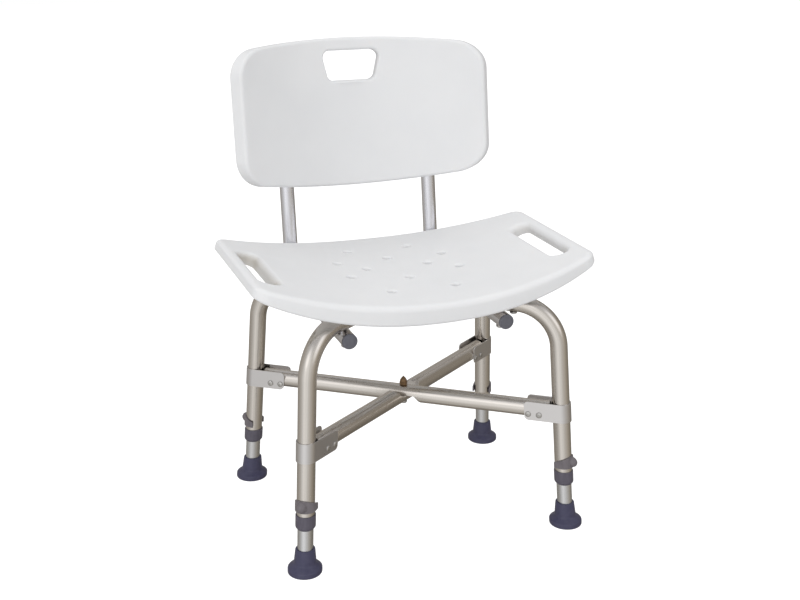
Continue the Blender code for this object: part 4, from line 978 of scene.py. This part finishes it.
def brace_bar(first, second, wall_side):
    """A straight bar between two opposite legs, pressed flat on one side where the other bar crosses."""
    flat_half = press_half_length(first, BAR_HEIGHT, BAR_RADIUS)
    middle = BAR_HEIGHT * UP

    def half(corner):
        inward = inward_at(corner, BAR_HEIGHT)
        stops = [middle - stop * inward for stop in press_stops(flat_half)]
        return [bar_place(corner, BAR_END_REACH)] + stops

    points = half(first) + half(second)[::-1]
    direction = (points[-1] - points[0]).normalized()
    rule = pressed(BAR_HEIGHT, BAR_RADIUS, wall_side, flat_half)
    cutter = bmesh.new()
    reach = BAR_RADIUS + GAP
    add_hole(cutter, middle, reach * UP, BOLT_RADIUS)
    for corner in (first, second):
        add_rivet_holes(cutter, corner, reach)
    return combine(tube([(point, direction) for point in points], BAR_RADIUS, BAR_WALL, rule), cutter)


def crosses_flap(edge, side, inward, end):
    """Whether an edge runs through the wall of a flap, past a distance along the bar."""
    first, second = (vertex.co for vertex in edge.verts)
    way = (second - first).normalized()
    return abs(way.dot(side)) > NEARLY_SQUARE and min(first.dot(inward), second.dot(inward)) > end


def brace_bracket(corner):
    """A strap wrapped round the leg, with a flap on each side of the bar. It leans with the leg."""
    inward = inward_at(corner, BAR_HEIGHT)
    side = across(corner)
    inner_radius = BAR_RADIUS + GAP
    outer_radius = inner_radius + BRACKET_WALL
    low, high = (leg_point(corner, BAR_HEIGHT + share * BRACKET_HEIGHT) for share in (-0.5, 0.5))
    paths = [strap_outline(radius, BRACKET_REACH, inward, side) for radius in (inner_radius, outer_radius)]
    bm = bmesh.new()
    loft(bm, [[low + a, low + b, high + b, high + a] for a, b in zip(*paths)])
    end = low.dot(inward) + BRACKET_REACH - BRACKET_CORNER["offset"]
    ends = [edge for edge in bm.edges if crosses_flap(edge, side, inward, end)]
    bmesh.ops.bevel(bm, geom=ends, affect="EDGES", **BRACKET_CORNER)
    cutter = bmesh.new()
    add_rivet_holes(cutter, corner, outer_radius + GAP)
    return combine(bm, cutter)


def bracket_rivet(corner, reach):
    """A rivet through both flaps and the bar, with a low dome at each end."""
    flap = BAR_RADIUS + GAP + BRACKET_WALL + GAP
    dome = arc((0.0, flap), RIVET_HEAD_RADIUS, RIVET_HEAD_HEIGHT, RIVET_DOME_ARC)
    eye = flap + RIVET_HEAD_HEIGHT - RIVET_EYE_DEPTH
    dome.append((RIVET_EYE_RADIUS, dome[-1][1]))
    dome += [(RIVET_EYE_RADIUS * share, eye) for share in RIVET_EYE_FLOOR]
    profile = [(radius, -height) for radius, height in reversed(dome)]
    profile += [(RIVET_RADIUS, -flap), (RIVET_RADIUS, flap)] + dome
    place = bar_place(corner, reach, RIVET_DROP)
    return placed_mesh(turned(profile, FASTENER_SIDES), place, across(corner))


# Bolts and nuts


def screw(place, direction, sizes, length):
    """A pan-headed screw: its head stands on a place, its shank goes in a direction from there."""
    head_radius, head_height, radius = sizes
    brim = head_height * HEAD_BRIM
    profile = arc((head_radius - brim, brim - head_height), brim, brim, HEAD_BRIM_ARC)
    profile += [(head_radius, 0.0), (radius, 0.0), (radius, length - radius * SHANK_POINT)]
    profile.append((radius * (1.0 - SHANK_POINT), length))
    depth = head_height * RECESS_DEPTH
    levels = ((-head_height - depth, 1.0), (-head_height, 1.0), (depth - head_height, RECESS_TAPER))
    rings = []
    for height, share in levels:
        long, short = (head_radius * part * share for part in (RECESS_SPAN, RECESS_WIDTH))
        arm = [(long, -short), (long, short), (short, short)]
        ring = []
        for _ in range(RECESS_ARMS):
            ring += [(x, y, height) for x, y in arm]
            arm = [(-y, x) for x, y in arm]
        rings.append(ring)
    recess = bmesh.new()
    loft(recess, rings)
    whole = placed_mesh(turned(profile, FASTENER_SIDES), place, direction)
    return combine(whole, placed_mesh(recess, place, direction))


def hexagon_base(radius, height, place, direction):
    """A six-sided prism with the corners of both its faces turned off."""
    prism = placed_mesh(turned([(radius, 0.0), (radius, height)], NUT_SIDES), place, direction)
    drop = radius * NUT_CHAMFER_DROP
    flat = radius * NUT_CHAMFER_FLAT
    profile = [(flat, 0.0), (radius, drop), (radius, height - drop), (flat, height)]
    return combine(prism, placed_mesh(turned(profile, TURNED_SIDES), place, direction), "INTERSECT")


def bored(mesh, place, direction, depth):
    """A nut's mesh with its bore cut to a depth."""
    cutter = bmesh.new()
    add_rod(cutter, place - GAP * direction, place + depth * direction, BOLT_RADIUS + HOLE_CLEARANCE)
    return combine(mesh, cutter)


def hexagon_nut(place, direction):
    """A hexagonal nut whose base is at a place."""
    return bored(hexagon_base(NUT_RADIUS, NUT_HEIGHT, place, direction), place, direction, NUT_HEIGHT + GAP)


def acorn_nut(place):
    """A domed nut: a six-sided base that runs into a pointed dome."""
    dome_height = ACORN_HEIGHT - ACORN_HEX_HEIGHT
    profile = [(ACORN_DOME_RADIUS, ACORN_HEX_HEIGHT - GAP)]
    for share in (index / ACORN_STEPS for index in range(ACORN_STEPS)):
        radius = ACORN_DOME_RADIUS * (1.0 - share ** ACORN_ROUNDNESS)
        profile.append((radius, ACORN_HEX_HEIGHT + dome_height * share))
    profile.append((ACORN_TIP_RADIUS, ACORN_HEIGHT))
    dome = placed_mesh(turned(profile, FASTENER_SIDES), place, UP)
    base = hexagon_base(ACORN_RADIUS, ACORN_HEX_HEIGHT, place, UP)
    return bored(combine(base, dome, "UNION"), place, UP, ACORN_HEX_HEIGHT)


# Back tubes


BACK_UP = Vector((0.0, BACK_LEAN, 1.0)).normalized()
BACK_NORMAL = Vector((0.0, 1.0, -BACK_LEAN)).normalized()


def back_point(x, along, behind=0.0):
    """A point by its place across the back, and how far it is up the lean and behind the tubes' axes."""
    return Vector((x, BACK_TUBE_Y, SEAT_TOP)) + along * BACK_UP + behind * BACK_NORMAL


def add_back_screw_holes(bm, x, reach):
    """Add the rods for a back tube's screws, from its axis backward."""
    for along in BACKREST_SCREW_PLACES.values():
        radius = BACKREST_SCREW_RADIUS + HOLE_CLEARANCE
        add_rod(bm, back_point(x, along), back_point(x, along, reach), radius)


def back_tube(x):
    """A tube from inside the backrest down behind the seat and forward under the leg frames."""
    elbow = back_point(x, (BACK_RUN_HEIGHT - SEAT_TOP) / BACK_UP.z)
    corners = [back_point(x, BACK_TUBE_TOP), elbow, Vector((x, BACK_TUBE_FRONT, BACK_RUN_HEIGHT))]
    cutter = bmesh.new()
    reach = BACK_TUBE_RADIUS + GAP
    for side_y in (-1, 1):
        centre = Vector((x, side_y * abs(crossing_point("fr").y), BACK_RUN_HEIGHT))
        add_hole(cutter, centre, reach * UP, BOLT_RADIUS)
    add_back_screw_holes(cutter, x, reach)
    return combine(tube(rounded_path(corners, BACK_BEND_RADIUS), BACK_TUBE_RADIUS, BACK_TUBE_WALL), cutter)


def back_tube_cap(x):
    """A plastic cap: a domed head on the tube's end, with a plug inside it."""
    plug = BACK_TUBE_RADIUS - BACK_TUBE_WALL - CAP_PLUG_CLEARANCE
    profile = [(plug, -CAP_PLUG), (plug, GAP), (BACK_TUBE_RADIUS, GAP)]
    dome_centre = (0.0, GAP + CAP_SIDE)
    profile += arc(dome_centre, BACK_TUBE_RADIUS, CAP_HEAD - CAP_SIDE, CAP_DOME_ARC, CAP_DOME_STEPS)
    place = Vector((x, BACK_TUBE_FRONT, BACK_RUN_HEIGHT))
    return placed_mesh(turned(profile, TURNED_SIDES), place, Vector((0.0, -1.0, 0.0)))


# Moulded plates


def outward_point(centre, radius, angle):
    """A point of a level circle, with its outward normal."""
    normal = Vector((math.cos(angle), math.sin(angle), 0.0))
    return centre + radius * normal, normal


def bowed_outline(half, low, low_bow, high, high_bow, corner):
    """Points with outward normals round a plate whose two long edges bow out and whose ends are straight."""
    def edge(x, level, bow, sign):
        height = level + sign * bow * (1.0 - (x / half) ** 2)
        slope = -sign * bow * 2.0 * x / half ** 2
        return Vector((x, height, 0.0)), Vector((-slope * sign, sign, 0.0)).normalized()

    def long_edge(*shape):
        end = half - corner
        for _ in range(CORNER_TRIES):
            end = half - corner + corner * edge(end, *shape)[1].x
        points = [edge(end * index / EDGE_STEPS, *shape) for index in range(EDGE_STEPS + 1)]
        point, normal = points[-1]
        start = math.atan2(normal.y, normal.x)
        angles = [start * (CORNER_STEPS - index) / CORNER_STEPS for index in range(1, CORNER_STEPS + 1)]
        return points + [outward_point(point - corner * normal, corner, angle) for angle in angles]

    right = long_edge(low, low_bow, -1) + long_edge(high, high_bow, 1)[::-1]
    left = [(Vector((-p.x, p.y, 0.0)), Vector((-n.x, n.y, 0.0))) for p, n in right[-2:0:-1]]
    return right + left


def inset_ring(outline, inset, height):
    """The outline drawn in by an inset, at a height."""
    return [point - inset * normal + height * UP for point, normal in outline]


QUARTER = [math.radians(90.0 * index / ROUND_STEPS) for index in range(ROUND_STEPS + 1)]


def quarter_round(outline, radius, face, way):
    """Rings of a quarter round from a face inward to the side: way is -1 below a top face, 1 above a base."""
    places = [(radius * (1.0 - math.sin(angle)), radius * (1.0 - math.cos(angle))) for angle in QUARTER]
    return [inset_ring(outline, inset, face + way * depth) for inset, depth in places]


def add_opening(bm, outline, flare, flare_depth, thickness):
    """Add a cutter whose edge rounds out to a flare at the top face, which is at z = 0."""
    rings = [inset_ring(outline, -flare, flare_depth)]
    for angle in reversed(QUARTER):
        depth = flare_depth * (1.0 - math.sin(angle))
        rings.append(inset_ring(outline, -flare * (1.0 - math.cos(angle)), OVER_FACE - depth))
    rings.append(inset_ring(outline, 0.0, -thickness - GAP))
    loft(bm, rings)


def cut_into_strips(bm, half, width):
    """Cut a plate across at even steps, so that it can bend, and make its mesh."""
    count = max(2, round(2.0 * half / width))
    for index in range(1, count):
        place = (-half + 2.0 * half * index / count, 0.0, 0.0)
        parts = list(bm.verts) + list(bm.edges) + list(bm.faces)
        bmesh.ops.bisect_plane(bm, geom=parts, plane_co=place, plane_no=(1.0, 0.0, 0.0), dist=TINY)
    return finish_mesh(bm)


def bend_mesh(mesh, rule):
    """Move every point of a mesh by a rule."""
    for vertex in mesh.vertices:
        vertex.co = rule(vertex.co)


def rounded_polygon(corners, radius):
    """A closed outline with rounded corners, and its outward normals, counter-clockwise."""
    outline = []
    corners = [Vector((*corner, 0.0)) for corner in corners]
    for index, corner in enumerate(corners):
        before = (corner - corners[index - 1]).normalized()
        after = (corners[(index + 1) % len(corners)] - corner).normalized()
        turn = before.angle(after)
        start_normal = Vector((before.y, -before.x, 0.0))
        centre = corner - radius * math.tan(turn / 2.0) * before - radius * start_normal
        start = math.atan2(start_normal.y, start_normal.x)
        for step in range(CORNER_STEPS + 1):
            outline.append(outward_point(centre, radius, start + turn * step / CORNER_STEPS))
    return outline


# Seat


def seat_rise(x):
    """How far the seat's surface stands above its lowest line."""
    return SEAT_RISE * (abs(x) / SEAT_RISE_REACH) ** SEAT_RISE_POWER


def bent_seat_point(flat):
    """Bend a flat seat point up along its length; its depth stays square to the surface, and thins out."""
    steepness = SEAT_RISE_POWER * SEAT_RISE / SEAT_RISE_REACH
    slope = math.copysign(steepness * (abs(flat.x) / SEAT_RISE_REACH) ** (SEAT_RISE_POWER - 1.0), flat.x)
    lost = 1.0 - SEAT_END_THICKNESS / SEAT_THICKNESS
    share = 1.0 - lost * (abs(flat.x) / SEAT_HALF_LENGTH) ** SEAT_THINNING_POWER
    depth = -flat.z * share / math.hypot(1.0, slope)
    return Vector((flat.x + slope * depth, flat.y, SEAT_TOP + seat_rise(flat.x) - depth))


def seat_plate():
    """The flat plate with its rounded rim and the deep skirt under its edge."""
    long_edges = (SEAT_FRONT, SEAT_FRONT_BOW, SEAT_REAR, SEAT_REAR_BOW)
    outline = bowed_outline(SEAT_HALF_LENGTH, *long_edges, SEAT_CORNER)
    rings = quarter_round(outline, SEAT_EDGE_ROUND, 0.0, -1)
    rings += reversed(quarter_round(outline, SEAT_SKIRT_ROUND, -SEAT_THICKNESS, 1))
    rings.append(inset_ring(outline, SEAT_SKIRT, -SEAT_THICKNESS))
    rings.append(inset_ring(outline, SEAT_SKIRT + SEAT_SKIRT_DRAFT, -SEAT_WEB))
    bm = bmesh.new()
    loft(bm, rings)
    return cut_into_strips(bm, SEAT_HALF_LENGTH, SEAT_STRIP)


def slot_outline(side_x, margin=0.0):
    """A hand slot, wider all round by a margin: two straight sides and two round ends."""
    half = SLOT_WIDTH / 2.0 + margin
    x = side_x * SLOT_X
    end = SLOT_LENGTH / 2.0 + margin
    corners = ((x - half, -end), (x + half, -end), (x + half, end), (x - half, end))
    return rounded_polygon(corners, half - GAP)


def seat():
    """The seat: plate, rimmed hand slots, drain holes, and four bosses that stand on the leg frames."""
    cutter, rims, bosses, holes = (bmesh.new() for _ in range(4))
    for side_x in (-1, 1):
        add_opening(cutter, slot_outline(side_x), SLOT_FLARE, SLOT_FLARE_DEPTH, SLOT_RIM_DEPTH)
        rim = slot_outline(side_x, SLOT_RIM_WALL)
        loft(rims, [inset_ring(rim, 0.0, -depth) for depth in (SEAT_WEB / 2.0, SLOT_RIM_DEPTH)])
    for x, y in DRAIN_PLACES:
        for side_x in ((-1, 1) if x else (1,)):
            normals = [Vector((c, s, 0.0)) for c, s in circle(HOLE_SIDES)]
            centre = Vector((side_x * x, y, 0.0))
            outline = [(centre + DRAIN_RADIUS * normal, normal) for normal in normals]
            add_opening(cutter, outline, DRAIN_FLARE, DRAIN_FLARE_DEPTH, SEAT_WEB)
    mesh = combine(combine(seat_plate(), rims, "UNION"), cutter)
    bend_mesh(mesh, bent_seat_point)
    for corner in CORNERS:
        place = crossing_point(corner, BOSS_PAST_BACK_TUBE)
        base = at_height(place, TOP_OF_RUN)
        web_middle = SEAT_TOP + seat_rise(place.x) - SEAT_WEB / 2.0
        add_rod(bosses, base, at_height(place, web_middle), BOSS_RADIUS, TUBE_SIDES)
        hole_top = at_height(place, TOP_OF_RUN + SEAT_SCREW_DEPTH + GAP)
        add_rod(holes, base - GAP * UP, hole_top, SEAT_SCREW_RADIUS + HOLE_CLEARANCE)
    return combine(combine(mesh, bosses, "UNION"), holes)


# Backrest


def panel_point(flat):
    """Bend a flat panel point (across, up, -depth) round the sitter's back."""
    slope = -2.0 * PANEL_CURVE * flat.x / PANEL_HALF_WIDTH ** 2
    size = math.hypot(1.0, slope)
    behind = PANEL_SETBACK - PANEL_CURVE * (flat.x / PANEL_HALF_WIDTH) ** 2 - flat.z / size
    return back_point(flat.x + slope / size * flat.z, flat.y, behind)


def backrest_panel():
    """The curved panel with its hand cut-out and two sockets for the back tubes."""
    outline = bowed_outline(PANEL_HALF_WIDTH, PANEL_BOTTOM, PANEL_BOW, PANEL_TOP, PANEL_BOW, PANEL_CORNER)
    rings = quarter_round(outline, PANEL_EDGE_ROUND, 0.0, -1)
    rings += reversed(quarter_round(outline, PANEL_EDGE_ROUND, -PANEL_THICKNESS, 1))
    plate, cutter, sockets, bores, screw_holes = (bmesh.new() for _ in range(5))
    loft(plate, rings)
    bottom, top = CUTOUT_BOTTOM + CUTOUT_FLARE, CUTOUT_TOP - CUTOUT_FLARE
    bottom_half, top_half = CUTOUT_BOTTOM_HALF - CUTOUT_FLARE, CUTOUT_TOP_HALF - CUTOUT_FLARE
    corners = ((-bottom_half, bottom), (bottom_half, bottom), (top_half, top), (-top_half, top))
    opening = rounded_polygon(corners, CUTOUT_CORNER - CUTOUT_FLARE)
    add_opening(cutter, opening, CUTOUT_FLARE, CUTOUT_FLARE_DEPTH, PANEL_THICKNESS)
    mesh = combine(cut_into_strips(plate, PANEL_HALF_WIDTH, PANEL_STRIP), cutter)
    bend_mesh(mesh, panel_point)
    bore = BACK_TUBE_RADIUS + GAP
    bore_start = PANEL_BOTTOM - PANEL_BOW - SOCKET_RADIUS
    bore_top = BACK_TUBE_TOP + SOCKET_TOP_GAP
    wall = SOCKET_RADIUS - BACK_TUBE_RADIUS - GAP
    socket_top = bore_top + wall
    for side_x in (-1, 1):
        x = side_x * BACK_TUBE_HALF_SPACING
        add_rod(sockets, back_point(x, SOCKET_BOTTOM), back_point(x, socket_top), SOCKET_RADIUS, TURNED_SIDES)
        add_rod(bores, back_point(x, bore_start), back_point(x, bore_top), bore, TURNED_SIDES)
        add_back_screw_holes(screw_holes, x, SOCKET_RADIUS + GAP)
    mesh = combine(mesh, sockets, "UNION")
    return combine(combine(mesh, bores), screw_holes)


# The pieces


def make_frame():
    """Make the seat, the backrest, the leg frames, the brace bars and what is at each corner."""
    add_piece("seat", seat())
    add_piece("backrest_panel", backrest_panel())
    screw_length = TOP_OF_RUN + SEAT_SCREW_DEPTH - UNDER_RUN
    for name, ends in LEG_FRAMES.items():
        add_piece("leg_frame_" + name, leg_frame(*ends))
    for name, ends in BRACE_BARS.items():
        add_piece("brace_bar_" + name, brace_bar(*ends))
    extension, tip, collar, clip = leg_extension(), foot_tip(), leg_collar(), locking_clip()
    for corner, turn in LEG_TURNS.items():
        add_piece("leg_extension_" + corner, extension, SOLES[corner], turn, look="bare_tube")
        add_piece("foot_tip_" + corner, tip, SOLES[corner], turn)
        add_piece("leg_collar_" + corner, collar, SOLES[corner], turn)
        add_piece("locking_clip_" + corner, clip, SOLES[corner], turn, look="clip_plastic")
        bracket = brace_bracket(corner)
        add_piece("brace_bracket_" + corner, bracket, bevel=BRACKET_BEVEL, look="pressed_strap")
        for number, reach in enumerate(RIVET_REACHES, 1):
            add_piece(f"bracket_rivet_{corner}_{number}", bracket_rivet(corner, reach))
        place = at_height(crossing_point(corner, BOSS_PAST_BACK_TUBE), UNDER_RUN)
        add_piece("seat_screw_" + corner, screw(place, UP, SEAT_SCREW, screw_length))


def make_fasteners():
    """Make the bolts and nuts at the back tubes and at the two crossings."""
    under_back_run = BACK_RUN_HEIGHT - BACK_TUBE_RADIUS - GAP
    length = TOP_OF_RUN + NUT_HEIGHT + BOLT_TIP - under_back_run
    for corner in CORNERS:
        crossing = crossing_point(corner)
        bolt = screw(at_height(crossing, under_back_run), UP, BOLT, length)
        add_piece("back_tube_bolt_" + corner, bolt)
        add_piece("back_tube_nut_" + corner, hexagon_nut(at_height(crossing, TOP_OF_RUN), UP))

    length = TOP_OF_RUN - UNDER_RUN + NUT_HEIGHT + BOLT_TIP
    add_piece("frame_bolt", screw(TOP_OF_RUN * UP, -UP, LOW_BOLT, length))
    add_piece("frame_nut", hexagon_nut(UNDER_RUN * UP, -UP))

    under_bars = BAR_HEIGHT - BAR_RADIUS - GAP
    over_bars = BAR_HEIGHT + BAR_RADIUS + GAP
    length = over_bars + ACORN_HEX_HEIGHT - GAP - under_bars
    add_piece("brace_bolt", screw(under_bars * UP, UP, BOLT, length))
    add_piece("brace_nut", acorn_nut(over_bars * UP))


def make_back_tubes():
    """Make the back tubes, their caps and the screws that hold the backrest on them."""
    for side, side_x in SIDES.items():
        x = side_x * BACK_TUBE_HALF_SPACING
        add_piece("back_tube_" + side, back_tube(x))
        add_piece("back_tube_cap_" + side, back_tube_cap(x))
        for level, along in BACKREST_SCREW_PLACES.items():
            place = back_point(x, along, SOCKET_RADIUS + GAP)
            piece = screw(place, -BACK_NORMAL, BACKREST_SCREW, BACKREST_SCREW_LENGTH)
            add_piece(f"backrest_screw_{side}_{level}", piece)


# Camera, floor and light


def make_camera():
    """The camera at the photograph's viewing angle."""
    data = bpy.data.cameras.new("camera")
    data.lens = CAMERA_LENS
    data.sensor_width = SENSOR_WIDTH
    camera = link_object("camera", data)
    turn = Matrix((CAMERA_RIGHT, CAMERA_UP, CAMERA_RIGHT.cross(CAMERA_UP))).transposed().to_4x4()
    camera.matrix_world = Matrix.Translation(CAMERA_PLACE) @ turn
    bpy.context.scene.camera = camera


def make_floor():
    """A plain white floor under the bench; metal shows the world's own ground instead."""
    mesh = bpy.data.meshes.new("floor")
    corners = [(x * FLOOR_HALF, y * FLOOR_HALF, 0.0) for x, y in ((-1, -1), (1, -1), (1, 1), (-1, 1))]
    mesh.from_pydata(corners, [], [(0, 1, 2, 3)])
    material = bpy.data.materials.new("floor_white")
    mesh.materials.append(material)
    nodes = Nodes(material)
    nodes.tree.nodes.clear()
    seen = nodes.add("LightPath", output="Is Camera Ray")
    glow = nodes.add("Emission", {"Strength": nodes.maths("MULTIPLY", seen, FLOOR_GLOW)})
    nodes.show("Material", nodes.add("AddShader", (nodes.add("BsdfDiffuse", [FLOOR_WHITE]), glow)))
    floor = link_object("floor", mesh)
    floor.location.z = FLOOR_HEIGHT
    floor.visible_glossy = False


def horizon_light(nodes, vector):
    """How bright the studio's horizon is in a direction, by its angle round the bench."""
    toward = at_height(CAMERA_PLACE, 0.0).normalized()
    right = Vector((-toward.y, toward.x, 0.0))
    angle = nodes.maths("ARCTAN2", nodes.dot(vector, right), nodes.dot(vector, toward))
    return nodes.colour_ramp(nodes.ramp(angle, 0.0, 1.0, -math.pi, math.pi), HORIZON_STOPS, HORIZON_TINT)


def make_world():
    """A soft studio: white to the camera, even light, and a horizon that the metal shows."""
    world = bpy.data.worlds.new("studio")
    bpy.context.scene.world = world
    nodes = Nodes(world)
    nodes.tree.nodes.clear()
    rays = nodes.add("LightPath").node.outputs
    place = nodes.add("TexCoord", output="Generated")
    height = nodes.parts(place)["Z"]
    below = nodes.mix(nodes.ramp(height, 0.0, 1.0, *BELOW_REACH), BELOW_TINT, WHITE)
    horizon = nodes.vectors("MULTIPLY", horizon_light(nodes, place), below)
    overhead = nodes.colour_ramp(height, OVERHEAD_STOPS, OVERHEAD_TINT)
    shown = nodes.mix(nodes.ramp(height, 0.0, 1.0, *OVERHEAD_BLEND), horizon, overhead)
    for way, colour, *angles in WINDOWS:
        edges = [math.cos(math.radians(angle)) for angle in angles]
        inside = nodes.ramp(nodes.dot(place, Vector(way).normalized()), 0.0, 1.0, *edges)
        window = nodes.add("VectorMath", {0: colour, "Scale": inside}, operation="SCALE")
        shown = nodes.vectors("ADD", shown, window)
    strength = nodes.maths("ADD", nodes.dot(place, WORLD_TILT), WORLD_LIGHT)
    lights = ((WHITE, strength), (shown, 1.0), (WHITE, 1.0))
    soft, mirrored, white = (nodes.add("Background", light) for light in lights)
    lit = nodes.add("MixShader", (rays["Is Glossy Ray"], soft, mirrored))
    nodes.show("World", nodes.add("MixShader", (rays["Is Camera Ray"], lit, white)))


def make_lamps():
    """Square soft lamps aimed at the bench, which light it and aren't mirrored in it."""
    for name, (place, size, power) in LAMPS.items():
        data = bpy.data.lights.new(name, "AREA")
        data.size = size
        data.energy = power
        lamp = link_object(name, data)
        lamp.location = place
        lamp.rotation_euler = (LAMP_TARGET - Vector(place)).to_track_quat("-Z", "Y").to_euler()
        lamp.visible_glossy = False


make_frame()
make_fasteners()
make_back_tubes()
make_camera()
make_floor()
make_world()
make_lamps()
bpy.context.scene.view_settings.view_transform = "Standard"
